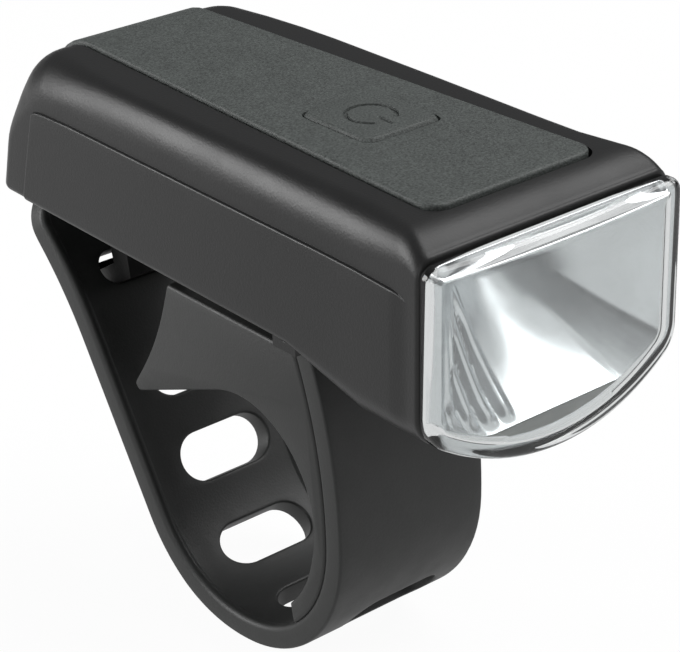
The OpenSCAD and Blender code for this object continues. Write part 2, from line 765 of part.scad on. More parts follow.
// The fixed part of the strap: a bead on the pin, the front run and the slotted bottom
pin_a = 180 - asin((pin_z - run_c[1]) / front_run_r);
bend_a = bend_gap / 2 / loop_r * 180 / PI;
arc_slots = 3;
module strap_loop() {
    color("#333433") difference() {
        union() {
            along_x(strap_w) polygon(concat(arc(run_c, front_run_r + strap_t / 2, pin_a, 180),
                arc(loop_c, loop_r + strap_t / 2, 180, 360 - tail_lean - bend_a, 30),
                arc(loop_c, loop_r - strap_t / 2, 360 - tail_lean - bend_a, 180, 30),
                arc(run_c, front_run_r - strap_t / 2, 180, pin_a)));
            along_x(strap_w) translate([pin_y, pin_z]) circle(bead_r);
        }
        translate([0, pin_y, pin_z]) rotate([0, 90, 0])
            cylinder(h = strap_w + over, d = pin_d + 2 * screw_fit, center = true);
        for (i = [1:arc_slots]) let (a = (i * slot_pitch - slot_first) / loop_r * 180 / PI)
            translate([0, loop_c[0], loop_c[1]]) rotate([-tail_lean - a, 0, 0]) translate([0, loop_r, 0])
                rotate([90, 0, 0]) slot();
    }
}

// The free part of the strap: it swings out about its bend line and comes off the hook
tail_slots = 3;
module strap_tail() {
    s0 = bend_gap / 2;
    c = [strap_w / 2 - tail_corner_r, tail_l - tail_corner_r];
    color("#333433") translate([0, bend[0], bend[1]]) rotate([90 - tail_lean, 0, 0]) difference() {
        along_z(-strap_t / 2, strap_t / 2) polygon(concat([[-strap_w / 2, s0], [strap_w / 2, s0]],
            arc(c, tail_corner_r, 0, 90), arc([-c[0], c[1]], tail_corner_r, 90, 180)));
        for (i = [0:tail_slots - 1]) translate([0, slot_first + i * slot_pitch, 0]) slot();
    }
}

module anchor_pin() {
    color("#26282a") translate([0, pin_y, pin_z]) rotate([0, 90, 0])
        cylinder(h = 2 * (lug_x + lug_t), d = pin_d, center = true);
}

main_housing();
bottom_cover();
front_lens();
lens_seal();
reflector();
lamp_chin();
led_emitter();
led_board();
heat_sink();
led_leads();
top_pad();
power_button();
switch_plunger();
tact_switch();
circuit_board();
usb_socket();
charge_flap();
battery_cell();
battery_foam();
battery_leads();
board_screws();
cover_screws();
bar_saddle();
saddle_screws();
strap_loop();
strap_tail();
anchor_pin();
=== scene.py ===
"""Looks of a bicycle headlight on a rubber ladder strap.

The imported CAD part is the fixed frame. Sizes are in millimetres in the part's own frame: the origin lies on
the handlebar's axis, the lens faces -Y, +Z is up and the bar runs along X.
"""

import logging
import math
from dataclasses import dataclass, field, replace
from enum import Enum

import bmesh
import bpy
import numpy as np
from mathutils import Matrix, Vector


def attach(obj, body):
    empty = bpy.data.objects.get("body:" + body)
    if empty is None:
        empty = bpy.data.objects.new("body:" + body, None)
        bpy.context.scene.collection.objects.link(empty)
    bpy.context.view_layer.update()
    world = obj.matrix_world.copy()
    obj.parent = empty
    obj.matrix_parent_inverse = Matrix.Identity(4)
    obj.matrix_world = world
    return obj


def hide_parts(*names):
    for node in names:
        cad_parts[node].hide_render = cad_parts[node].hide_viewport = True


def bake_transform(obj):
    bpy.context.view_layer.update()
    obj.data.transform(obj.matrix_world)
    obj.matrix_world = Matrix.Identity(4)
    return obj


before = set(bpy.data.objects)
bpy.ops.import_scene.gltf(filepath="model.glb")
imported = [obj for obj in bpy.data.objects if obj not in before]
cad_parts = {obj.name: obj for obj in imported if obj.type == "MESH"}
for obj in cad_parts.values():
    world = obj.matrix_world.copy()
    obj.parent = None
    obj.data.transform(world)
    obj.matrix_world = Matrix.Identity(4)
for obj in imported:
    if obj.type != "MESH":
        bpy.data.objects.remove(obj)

Array = np.ndarray
Colour = tuple[float, float, float]
MM = 0.001
MERGE_M = 2e-6
CREASE = 35.0
log = logging.getLogger("headlight")


class Body(Enum):
    """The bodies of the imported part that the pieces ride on."""

    LAMP = "lamp"
    BUTTON = "power_button"
    FLAP = "charge_flap"
    TAIL = "strap_tail"


class Side(Enum):
    """The two sides of the light, by the sign of X."""

    LEFT = -1
    RIGHT = 1


def ease(t: Array) -> Array:
    """Soft step: 3 t squared minus 2 t cubed, with t held between 0 and 1."""
    t = np.clip(t, 0.0, 1.0)
    return t * t * (3.0 - 2.0 * t)


def arc(centre: tuple[float, float], radius: float, start: float, end: float, count: int) -> Array:
    """Points of an arc: the centre plus the radius times the cosine and sine of evenly spaced angles.

    Args:
        centre: The arc's centre.
        radius: The arc's radius.
        start: First angle in degrees.
        end: Last angle in degrees.
        count: Number of points.

    Returns:
        The points, one a row.
    """
    angle = np.radians(np.linspace(start, end, count))
    return np.asarray(centre) + radius * np.stack([np.cos(angle), np.sin(angle)], axis=-1)


def quarter(gap: Array, radius: float) -> Array:
    """Drop of a round edge at a distance inside it: r less the root of r squared minus (r - gap) squared."""
    near = np.clip(radius - gap, 0.0, radius)
    return radius - np.sqrt(radius**2 - near**2)


def around(count: int) -> Array:
    """Angles in radians, evenly spaced over one full turn."""
    return np.linspace(0.0, 2.0 * np.pi, count + 1)[:-1]


def superellipse(angle: Array, long: float, tall: float, power: float) -> Array:
    """A box with round corners: its reach is (|cos / long|^p + |sin / tall|^p) to the power -1 / p.

    Args:
        angle: Angles of the points, in radians.
        long: Half its length.
        tall: Half its height.
        power: The power p, which is larger for tighter corners.

    Returns:
        The points, one a row.
    """
    reach = (np.abs(np.cos(angle) / long) ** power + np.abs(np.sin(angle) / tall) ** power) ** (-1.0 / power)
    return np.stack([reach * np.cos(angle), reach * np.sin(angle)], -1)


def level(red: int, green: int, blue: int) -> Colour:
    """Turns a colour as it shows on a screen into linear light, by the screen's usual curve.

    Args:
        red: Red from 0 to 255.
        green: Green from 0 to 255.
        blue: Blue from 0 to 255.

    Returns:
        The linear colour.
    """
    shown = np.array([red, green, blue]) / 255.0
    linear = np.where(shown <= 0.04045, shown / 12.92, ((shown + 0.055) / 1.055) ** 2.4)
    return tuple(float(c) for c in linear)


class Track:
    """A chain of arcs and straight runs in the plane of Y and Z."""

    STRAIGHT = 1e-9

    def __init__(self, start: tuple[float, float], heading: float, runs: list[tuple[float, float]]) -> None:
        """Works out where each run starts.

        Args:
            start: Y and Z of the first point.
            heading: First direction in degrees, from +Y towards +Z.
            runs: Length and curvature of each run; a positive curvature turns from +Y towards +Z.
        """
        self.bends = np.array([bend for _, bend in runs])
        lengths = np.array([length for length, _ in runs])
        self.marks = np.concatenate([[0.0], np.cumsum(lengths)])
        turns = np.concatenate([[0.0], np.cumsum(lengths * self.bends)])
        self.headings = math.radians(heading) + turns[:-1]
        self.places = np.array([start], dtype=float)
        for i in range(len(runs) - 1):
            self.places = np.vstack([self.places, self._step(np.array([i]), lengths[i : i + 1])[0]])

    def _step(self, index: Array, along: Array) -> Array:
        """Place along a run: its start plus (sin h - sin h0, cos h0 - cos h) over the curvature.

        Args:
            index: Number of the run, for each place.
            along: Distance from the start of that run.

        Returns:
            Y and Z of each place.
        """
        bend = self.bends[index]
        first = self.headings[index]
        last = first + bend * along
        flat = np.abs(bend) < self.STRAIGHT
        safe = np.where(flat, 1.0, bend)
        curved = np.stack([np.sin(last) - np.sin(first), np.cos(first) - np.cos(last)], -1) / safe[..., None]
        straight = np.stack([np.cos(first), np.sin(first)], -1) * along[..., None]
        return self.places[index] + np.where(flat[..., None], straight, curved)

    def at(self, s: Array) -> tuple[Array, Array]:
        """Points and left-hand normals at distances along the track.

        Args:
            s: Distances from the start.

        Returns:
            The points and the normals, each with Y and Z in the last axis.
        """
        s = np.asarray(s, dtype=float)
        index = np.clip(np.searchsorted(self.marks, s, side="right") - 1, 0, len(self.bends) - 1)
        along = s - self.marks[index]
        heading = self.headings[index] + self.bends[index] * along
        return self._step(index, along), np.stack([-np.sin(heading), np.cos(heading)], -1)

    def lay(self, s: Array, x: Array, v: Array) -> Array:
        """Puts flat points on the track: the track's point at s, plus v along its normal, at x across.

        Args:
            s: Distances along the track.
            x: Places along X.
            v: Distances along the normal.

        Returns:
            The points, with X, Y and Z in the last axis.
        """
        s, x, v = np.broadcast_arrays(s, x, v)
        place, normal = self.at(s)
        return np.concatenate([x[..., None], place + v[..., None] * normal], axis=-1)


class Surface:
    """Grids of points that are joined into one mesh."""

    def __init__(self) -> None:
        """Starts with no points."""
        self.points: list[Array] = []
        self.faces: list[list[int]] = []
        self.count = 0

    def grid(self, points: Array, wrap_rows: bool = False, wrap_columns: bool = False) -> "Surface":
        """Adds the four-sided faces between neighbouring points of a grid.

        Args:
            points: Array of rows, columns and X, Y, Z.
            wrap_rows: Whether the last row joins the first.
            wrap_columns: Whether the last column joins the first.

        Returns:
            The surface itself.
        """
        rows, columns = points.shape[:2]
        index = self.count + np.arange(rows * columns).reshape(rows, columns)
        if wrap_rows:
            index = np.vstack([index, index[:1]])
        if wrap_columns:
            index = np.hstack([index, index[:, :1]])
        quads = np.stack([index[:-1, :-1], index[1:, :-1], index[1:, 1:], index[:-1, 1:]], axis=-1)
        self.points.append(points.reshape(-1, 3))
        self.faces.extend(quads.reshape(-1, 4).tolist())
        self.count += rows * columns
        return self

    def polygon(self, loop: Array) -> "Surface":
        """Adds one flat face.

        Args:
            loop: The points round it.

        Returns:
            The surface itself.
        """
        self.points.append(loop)
        self.faces.append(list(range(self.count, self.count + len(loop))))
        self.count += len(loop)
        return self

    def add(self, other: "Surface") -> "Surface":
        """Adds the points and faces of another surface.

        Args:
            other: The other surface.

        Returns:
            The surface itself.
        """
        self.points.extend(other.points)
        self.faces.extend([[i + self.count for i in face] for face in other.faces])
        self.count += other.count
        return self

    def mirror(self) -> "Surface":
        """Adds the copy on the other side of the middle plane, with its faces turned round.

        Returns:
            The surface itself.
        """
        self.points.append(np.concatenate(self.points) * [-1.0, 1.0, 1.0])
        self.faces.extend([[i + self.count for i in reversed(face)] for face in self.faces])
        self.count *= 2
        return self

    def build(self, name: str, crease: float = CREASE) -> bpy.types.Object:
        """Joins the grids into an object whose faces point outwards.

        Args:
            name: Name of the object and its mesh.
            crease: Angle in degrees above which an edge shows as an edge.

        Returns:
            The new object, at the origin.
        """
        mesh = bpy.data.meshes.new(name)
        mesh.from_pydata((np.concatenate(self.points) * MM).tolist(), [], self.faces)
        work = bmesh.new()
        work.from_mesh(mesh)
        bmesh.ops.remove_doubles(work, verts=work.verts, dist=MERGE_M)
        bmesh.ops.recalc_face_normals(work, faces=work.faces)
        work.to_mesh(mesh)
        work.free()
        piece = bpy.data.objects.new(name, mesh)
        bpy.context.scene.collection.objects.link(piece)
        smooth(piece, crease)
        return piece


def smooth(piece: bpy.types.Object, crease: float) -> None:
    """Shades a piece smooth, apart from edges that turn more than the crease angle in degrees."""
    piece.data.shade_smooth()
    piece.data.set_sharp_from_angle(angle=math.radians(crease))


def settle(piece: bpy.types.Object) -> None:
    """Makes what a piece's modifiers give its own mesh.

    Args:
        piece: The piece, which has no modifiers afterwards.
    """
    graph = bpy.context.evaluated_depsgraph_get()
    shaped = bpy.data.meshes.new_from_object(piece.evaluated_get(graph))
    piece.modifiers.clear()
    piece.data = shaped


def carve(piece: bpy.types.Object, cutters: list[bpy.types.Object], crease: float = CREASE) -> None:
    """Cuts closed shapes out of a piece and removes them.

    Args:
        piece: The piece to cut.
        cutters: The shapes to take away.
        crease: Angle in degrees above which an edge shows as an edge.
    """
    for cutter in cutters:
        cut = piece.modifiers.new(cutter.name, "BOOLEAN")
        cut.operation = "DIFFERENCE"
        cut.solver = "EXACT"
        cut.object = cutter
    settle(piece)
    for cutter in cutters:
        bpy.data.objects.remove(cutter)
    work = bmesh.new()
    work.from_mesh(piece.data)
    bmesh.ops.remove_doubles(work, verts=work.verts, dist=MERGE_M)
    bmesh.ops.dissolve_degenerate(work, edges=work.edges, dist=MERGE_M)
    work.to_mesh(piece.data)
    work.free()
    smooth(piece, crease)


def bevel(piece: bpy.types.Object, width: float, segments: int = 3, angle: float = 50.0) -> None:
    """Rounds the sharp edges of a piece.

    Args:
        piece: The piece.
        width: Width of the rounding.
        segments: Number of faces across it.
        angle: Angle in degrees above which an edge is rounded.
    """
    edge = piece.modifiers.new("edges", "BEVEL")
    edge.width = width * MM
    edge.segments = segments
    edge.limit_method = "ANGLE"
    edge.angle_limit = math.radians(angle)
    edge.use_clamp_overlap = True
    edge.harden_normals = False


def prism(name: str, outline: Array, x0: float, x1: float) -> bpy.types.Object:
    """A Y-Z outline carried along X.

    Args:
        name: Name of the object.
        outline: Y and Z of the loop's points.
        x0: First X.
        x1: Last X.

    Returns:
        The closed object.
    """
    ends = [np.column_stack([np.full(len(outline), x), outline]) for x in (x0, x1)]
    shape = Surface().grid(np.stack(ends), wrap_columns=True)
    return shape.polygon(ends[0][::-1]).polygon(ends[1]).build(name)


def upright(name: str, ring: Array, z0: float, z1: float) -> bpy.types.Object:
    """An X-Y outline carried up from one height to another, used to cut holes."""
    rings = np.stack([np.column_stack([ring, np.full(len(ring), z)]) for z in (z0, z1)])
    return Surface().grid(rings, wrap_columns=True).polygon(rings[0, ::-1]).polygon(rings[1]).build(name)


def block(name: str, low: tuple[float, float, float], high: tuple[float, float, float]) -> bpy.types.Object:
    """A box between two corners, used to cut openings."""
    outline = np.array([[low[1], low[2]], [high[1], low[2]], [high[1], high[2]], [low[1], high[2]]])
    return prism(name, outline, low[0], high[0])


@dataclass(frozen=True)
class Finish:
    """A moulded, coated or rolled surface with a fine grain, soft mottling and worn gloss.

    The base colour varies with a soft noise of the mottle size and a fine noise of the grain size, the
    roughness varies with the soft one, and the fine one raises a bump.
    """

    name: str
    colour: Colour
    roughness: float
    metallic: float = 0.0
    specular: float = 0.5
    grain: float = 0.25
    grain_height: float = 0.01
    speckle: float = 0.05
    mottle: float = 5.0
    mottle_depth: float = 0.08
    stretch: Colour = (1.0, 1.0, 1.0)

    FINE_DETAIL = 3.0
    SOFT_DETAIL = 2.0
    NOISE_RANGE = (0.3, 0.7)
    GLOSS_SPREAD = 0.08

    @property
    def title(self) -> str:
        """Name of the material, which differs from that of the frame's own plain one."""
        return f"{self.name}_finish"

    def material(self) -> bpy.types.Material:
        """Makes the finish as a node material, once.

        Returns:
            The material of this finish.
        """
        made = bpy.data.materials.get(self.title)
        if made:
            return made
        made = bpy.data.materials.new(self.title)
        made.use_nodes = True
        nodes, links = made.node_tree.nodes, made.node_tree.links
        shader = nodes["Principled BSDF"]
        shader.inputs["Metallic"].default_value = self.metallic
        shader.inputs["Specular IOR Level"].default_value = self.specular
        place = nodes.new("ShaderNodeTexCoord")
        turned = nodes.new("ShaderNodeMapping")
        turned.inputs["Scale"].default_value = self.stretch
        links.new(place.outputs["Object"], turned.inputs["Vector"])
        fine = self._noise(nodes, links, turned, self.grain, self.FINE_DETAIL)
        soft = self._noise(nodes, links, turned, self.mottle, self.SOFT_DETAIL)
        tint = self._spread(nodes, links, soft, 1.0 - self.mottle_depth, 1.0 + self.mottle_depth)
        dust = self._spread(nodes, links, fine, 1.0 - self.speckle, 1.0 + self.speckle)
        both = nodes.new("ShaderNodeMath")
        both.operation = "MULTIPLY"
        links.new(tint.outputs["Result"], both.inputs[0])
        links.new(dust.outputs["Result"], both.inputs[1])
        shade = nodes.new("ShaderNodeVectorMath")
        shade.operation = "SCALE"
        shade.inputs[0].default_value = self.colour
        links.new(both.outputs["Value"], shade.inputs["Scale"])
        links.new(shade.outputs["Vector"], shader.inputs["Base Color"])
        gloss = self._spread(nodes, links, soft, self.roughness * (1.0 - self.GLOSS_SPREAD),
                             min(1.0, self.roughness * (1.0 + self.GLOSS_SPREAD)))
        links.new(gloss.outputs["Result"], shader.inputs["Roughness"])
        bump = nodes.new("ShaderNodeBump")
        bump.inputs["Distance"].default_value = self.grain_height * MM
        bump.inputs["Strength"].default_value = 1.0
        links.new(fine.outputs["Fac"], bump.inputs["Height"])
        links.new(bump.outputs["Normal"], shader.inputs["Normal"])
        return made

    @staticmethod
    def _noise(nodes: bpy.types.Nodes, links: bpy.types.NodeLinks, place: bpy.types.Node, size: float,
               detail: float) -> bpy.types.Node:
        """Adds a noise.

        Args:
            nodes: The material's nodes.
            links: The material's links.
            place: The node that gives the place.
            size: How wide its bumps are, in millimetres.
            detail: How many finer layers it has.

        Returns:
            The noise node.
        """
        noise = nodes.new("ShaderNodeTexNoise")
        noise.inputs["Scale"].default_value = 1.0 / (size * MM)
        noise.inputs["Detail"].default_value = detail
        links.new(place.outputs["Vector"], noise.inputs["Vector"])
        return noise

    @classmethod
    def _spread(cls, nodes: bpy.types.Nodes, links: bpy.types.NodeLinks, noise: bpy.types.Node, low: float,
                high: float) -> bpy.types.Node:
        """Maps the middle of a noise's range onto another range.

        Args:
            nodes: The material's nodes.
            links: The material's links.
            noise: The noise node.
            low: The lowest value.
            high: The highest value.

        Returns:
            The node that maps it.
        """
        spread = nodes.new("ShaderNodeMapRange")
        spread.inputs["From Min"].default_value = cls.NOISE_RANGE[0]
        spread.inputs["From Max"].default_value = cls.NOISE_RANGE[1]
        spread.inputs["To Min"].default_value = low
        spread.inputs["To Max"].default_value = high
        links.new(noise.outputs["Fac"], spread.inputs["Value"])
        return spread


@dataclass(frozen=True)
class ClearFinish(Finish):
    """Clear moulded plastic: the same grain, far finer, over a body that lets light through."""

    index: float = 1.49

    def material(self) -> bpy.types.Material:
        """Makes the finish as a node material, once.

        Returns:
            The material of this finish.
        """
        new = bpy.data.materials.get(self.title) is None
        made = super().material()
        if new:
            shader = made.node_tree.nodes["Principled BSDF"]
            base = shader.inputs["Base Color"]
            made.node_tree.links.remove(base.links[0])
            base.default_value = (*self.colour, 1.0)
            shader.inputs["Transmission Weight"].default_value = 1.0
            shader.inputs["IOR"].default_value = self.index
        return made


class Finishes:
    """The finishes of the light, each for one material slot of the record."""

    HOUSING = Finish("housing_plastic", level(20, 20, 20), 0.38, grain=0.3, grain_height=0.022, speckle=0.16,
                     mottle=9.0, mottle_depth=0.05, specular=0.36)
    PAD = Finish("pad_rubber", level(64, 68, 66), 0.58, grain=0.24, grain_height=0.06, speckle=0.55,
                 mottle=4.0, mottle_depth=0.06, specular=0.5)
    STRAP = Finish("strap_rubber", level(27, 28, 27), 0.5, grain=0.3, grain_height=0.02, speckle=0.14,
                   mottle=3.2, mottle_depth=0.12, specular=0.5)
    LENS = ClearFinish("lens_clear", (0.88, 0.9, 0.9), 0.03, grain=2.0, grain_height=0.0004)
    SEAL = Finish("seal_rubber", level(18, 18, 18), 0.6, specular=0.3)
    MIRROR = Finish("reflector_silver", (0.86, 0.88, 0.89), 0.24, metallic=1.0, grain=0.4,
                    grain_height=0.0005, speckle=0.01, mottle=3.0, mottle_depth=0.03)
    CHIN = Finish("chin_plastic", level(172, 174, 172), 0.5)
    CHIP = Finish("lamp_chip", level(235, 214, 112), 0.35, mottle=0.8, mottle_depth=0.06)
    LAMP_BOARD = Finish("lamp_board", level(226, 228, 224), 0.45)
    SINK = Finish("sink_aluminium", level(182, 186, 190), 0.35, metallic=1.0, stretch=(1.0, 1.0, 0.1))
    RED_LEAD = Finish("lead_red", level(160, 32, 30), 0.45)
    BLACK_LEAD = Finish("lead_black", level(30, 31, 33), 0.45)
    SWITCH = Finish("switch_metal", level(190, 193, 196), 0.3, metallic=1.0)
    PLUNGER = Finish("plunger_plastic", level(24, 24, 25), 0.5)
    BOARD = Finish("board_green", level(28, 92, 52), 0.35, grain=0.4, speckle=0.16, mottle=2.0,
                   mottle_depth=0.14)
    SOCKET = Finish("socket_steel", level(188, 191, 194), 0.28, metallic=1.0, stretch=(0.15, 1.0, 1.0))
    CELL = Finish("cell_wrap", level(60, 106, 164), 0.3, grain=0.8, grain_height=0.02)
    FOAM = Finish("foam_black", level(36, 38, 40), 0.95, grain=0.35, grain_height=0.08, speckle=0.3)
    PIN = Finish("pin_black", level(30, 30, 31), 0.4, metallic=0.6, grain=0.3, grain_height=0.004)
    STEEL = Finish("screw_steel", level(170, 172, 174), 0.3, metallic=1.0, grain=0.3, grain_height=0.004)


def dress(piece: bpy.types.Object, finish: Finish, body: Body, nodes: tuple[str, ...]) -> None:
    """Gives a piece its finish and ties it to the part.

    Args:
        piece: The piece.
        finish: Its finish.
        body: The body it moves with.
        nodes: The CAD nodes that it stands for.
    """
    piece.data.materials.clear()
    piece.data.materials.append(finish.material())
    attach(piece, body.value)
    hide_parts(*nodes)


# Lines that the housing, the pad and the lens share
FRONT_Y = -38.2
TOP_Z = 47.4
UNDERSIDE_Z = 27.8
BELLY_Z = 19.6
FRONT_HALF = 18.2
WAIST_HALF = 17.1
WAIST_Y = -22.0
REAR_HALF = 16.2
TAPER_END_Y = 38.2
BROW_CENTRE = (-33.4, 41.2)
BROW_R = 6.2
REAR_CENTRE = (29.911, 39.4)
REAR_R = 8.0
REAR_LEAN = 13.0
LIP = 0.5
BELLY_R = 30.0
CORNER_R = 4.0
KEY_Y = -10.6


def skin_track(corner_z: float) -> Track:
    """The middle line of the housing's skin: up the brow, along the top, round and down the rear face.

    Args:
        corner_z: Height at which the rear face ends.

    Returns:
        The track, with its normals outwards.
    """
    rise = math.degrees(math.acos((FRONT_Y + LIP - BROW_CENTRE[0]) / BROW_R))
    start = arc(BROW_CENTRE, BROW_R, rise, rise, 1)[0]
    rear_z = REAR_CENTRE[1] + REAR_R * math.sin(math.radians(REAR_LEAN))
    return Track(tuple(start), rise - 90.0, [
        (BROW_R * math.radians(rise - 90.0), -1.0 / BROW_R),
        (REAR_CENTRE[0] - BROW_CENTRE[0], 0.0),
        (REAR_R * math.radians(90.0 - REAR_LEAN), -1.0 / REAR_R),
        ((rear_z - corner_z) / math.cos(math.radians(REAR_LEAN)), 0.0),
    ])


def half_width(y: Array) -> Array:
    """Half the housing's width: an even taper to the rear, plus a flare that grows as a square to the lens.

    Args:
        y: Places along the housing.

    Returns:
        The half-width at each place.
    """
    even = WAIST_HALF + (REAR_HALF - WAIST_HALF) * (y - WAIST_Y) / (TAPER_END_Y - WAIST_Y)
    start = WAIST_HALF + (REAR_HALF - WAIST_HALF) * (FRONT_Y - WAIST_Y) / (TAPER_END_Y - WAIST_Y)
    flare = np.clip((WAIST_Y - y) / (WAIST_Y - FRONT_Y), 0.0, 1.0) ** 2
    return even + (FRONT_HALF - start) * flare


@dataclass
class HousingForm:
    """The closed form of the housing's skin, or of the space inside it."""

    inset: float = 0.0
    lid: float = 0.0
    corner: float = 1.0
    lip: float = LIP
    lip_half_z: float = 12.4
    core_z: float = 33.0
    fillet_y: tuple[float, ...] = (-38.2, -30.0, -5.0, 16.0, 27.0, 33.0)
    fillet_wide: tuple[float, ...] = (1.8, 3.4, 2.8, 2.6, 3.8, 5.6)
    fillet_deep: tuple[float, ...] = (2.6, 4.6, 4.8, 4.8, 5.1, 5.7)
    inside_share: float = 0.6
    foot_fillet: float = 1.9
    shrink_lead: float = 3.2
    shrink_pace: float = 1.3
    ledge_step: tuple[float, ...] = (-0.15, -0.05, 0.0, 0.03, 0.09, 0.18, 0.32)
    ledge_proud: tuple[float, ...] = (0.0, 0.0, 0.3, 0.62, 0.85, 0.96, 1.0)
    ledge_gap: float = 0.2
    panel_depth: float = 6.4
    rear_panel_depth: float = 5.6
    panel_turn: float = 0.42
    panel_turn_reach: float = 6.3
    panel_proud: float = 0.32
    panel_fade_y: tuple[float, float] = (-36.5, -33.0)
    step_y: tuple[float, float] = (-26.6, -16.6)
    ceiling_start: tuple[float, float] = (FRONT_Y, 43.43)
    ceiling_slope: float = 12.8
    ceiling_ramp: float = 4.4
    ceiling_r: float = 20.0
    bent_rows: int = 14
    straight_rows: int = 12
    flat_columns: int = 8
    fillet_columns: int = 12
    panel_columns: int = 6
    corner_columns: int = 9
    lip_rows: int = 5

    @property
    def foot_z(self) -> float:
        """Height at which the sides end above the bottom's round edges."""
        return UNDERSIDE_Z + self.inset + self.corner

    @property
    def turn(self) -> Array:
        """Angles over the long fillet, from the top to the side."""
        return np.radians(np.linspace(90.0, 0.0, self.fillet_columns))

    @property
    def proud(self) -> Array:
        """How far each row of the ledge stands out; the space inside has none."""
        return self.panel_proud * np.array(self.ledge_proud) * (self.inset == 0.0)

    def track(self) -> Track:
        """The middle line of this form; that of the space inside climbs a ramp to the lid's underside.

        Returns:
            The track, from the front edge to the foot of the rear face.
        """
        if not self.lid:
            return skin_track(self.foot_z)
        slope, lean = math.radians(self.ceiling_slope), math.radians(REAR_LEAN)
        y, z = self.ceiling_start
        ramp, bend_r, rear_r = self.ceiling_ramp, self.ceiling_r, REAR_R - self.lid
        ramp_end_y = y + ramp * math.cos(slope) + bend_r * math.sin(slope)
        ceiling_z = z + ramp * math.sin(slope) + bend_r * (1.0 - math.cos(slope))
        rear_z = ceiling_z - rear_r * (1.0 - math.sin(lean))
        return Track(self.ceiling_start, self.ceiling_slope, [
            (ramp, 0.0), (bend_r * slope, -1.0 / bend_r), (REAR_CENTRE[0] - ramp_end_y, 0.0),
            (rear_r * math.radians(90.0 - REAR_LEAN), -1.0 / rear_r),
            ((rear_z - self.foot_z) / math.cos(lean), 0.0)])

    def stations(self, track: Track) -> Array:
        """Distances along the track, close together where it bends.

        Args:
            track: The form's middle line.

        Returns:
            The distances, from the first to the last.
        """
        counts = np.where(np.abs(track.bends) > Track.STRAIGHT, self.bent_rows, self.straight_rows)
        spans = [np.linspace(a, b, n)[:-1] for a, b, n in zip(track.marks[:-1], track.marks[1:], counts)]
        return np.concatenate([*spans, track.marks[-1:]])

    def inward(self, track: Track, s: Array) -> Array:
        """Direction into the housing: straight down under the top, then along the normal, then level.

        Args:
            track: The form's middle line.
            s: Distances along it.

        Returns:
            Y and Z of the direction at each distance.
        """
        normal = track.at(s)[1]
        turned = (s - track.marks[-2]) / (track.marks[-1] - track.marks[-2])
        lean = np.radians(REAR_LEAN) * (1.0 - np.clip(turned, 0.0, 1.0))
        level_off = np.stack([-np.cos(lean), -np.sin(lean)], -1)
        down = np.broadcast_to([0.0, -1.0], normal.shape)
        rear = np.where((s >= track.marks[-2])[:, None], level_off, -normal)
        return np.where((s < track.marks[-3])[:, None], down, rear)

    def fade(self, y: Array) -> Array:
        """How far the side panel has come out at Y: a soft step from 0 behind the lens to 1."""
        return ease((y - self.panel_fade_y[0]) / (self.panel_fade_y[1] - self.panel_fade_y[0]))

    def fillets(self, track: Track, s: Array, y: Array) -> tuple[Array, Array]:
        """Size of the long fillet: even between given places along Y, and shrinking down the rear face.

        Args:
            track: The form's middle line.
            s: Distances along it.
            y: Y of each of these places.

        Returns:
            The fillet's width and its depth at each distance.
        """
        sizes = np.stack([np.interp(y, self.fillet_y, size) for size in (self.fillet_wide, self.fillet_deep)])
        foot_share = (s - track.marks[-2] + self.shrink_lead) / (track.marks[-1] - track.marks[-2])
        sizes = sizes + (self.foot_fillet - sizes) * ease(self.shrink_pace * foot_share)
        wide, deep = sizes * (self.inside_share if self.inset else 1.0)
        return wide, deep

    def ledge(self, track: Track, s: Array, fillet: Array) -> Array:
        """Depth of the side panel's ledge: a soft step round the rear bend, plus a bell curve at its middle.

        Args:
            track: The form's middle line.
            s: Distances along it.
            fillet: Depth of the long fillet at each distance.

        Returns:
            The depths, by section and by row of the ledge.
        """
        bent = np.clip((s - track.marks[-3]) / (track.marks[-2] - track.marks[-3]), 0.0, 1.0)
        deep = self.panel_depth + (self.rear_panel_depth - self.panel_depth) * ease(bent)
        if not self.inset:
            from_middle = s - (track.marks[-3] + track.marks[-2]) / 2.0
            deep = deep + self.panel_turn * np.exp(-((from_middle / self.panel_turn_reach) ** 2))
        return np.maximum(deep, fillet + self.ledge_gap)[:, None] + np.array(self.ledge_step)

    def upper(self, track: Track, s: Array) -> Array:
        """The upper part of each section: across the top, over a quarter ellipse and down to the ledge.

        Args:
            track: The form's middle line.
            s: Distances along it.

        Returns:
            The points, by section and column.
        """
        middle = track.at(s)[0]
        wide, fillet = self.fillets(track, s, middle[:, 0])
        flat = self.flat_columns
        depth_in = np.concatenate([np.zeros(flat), 1.0 - np.sin(self.turn)])
        back = np.concatenate([np.ones(flat), 1.0 - np.cos(self.turn)])
        depth = np.concatenate([fillet[:, None] * depth_in, self.ledge(track, s, fillet)], axis=1)
        place = middle[:, None] + depth[..., None] * self.inward(track, s)[:, None]
        x = half_width(place[..., 0]) - self.inset
        x[:, : len(back)] -= wide[:, None] * back
        x[:, :flat] *= np.linspace(0.0, 1.0, flat + 1)[:-1]
        x[:, len(back) :] += self.proud * self.fade(place[:, len(back) :, 0])
        return np.concatenate([x[..., None], place], axis=-1)

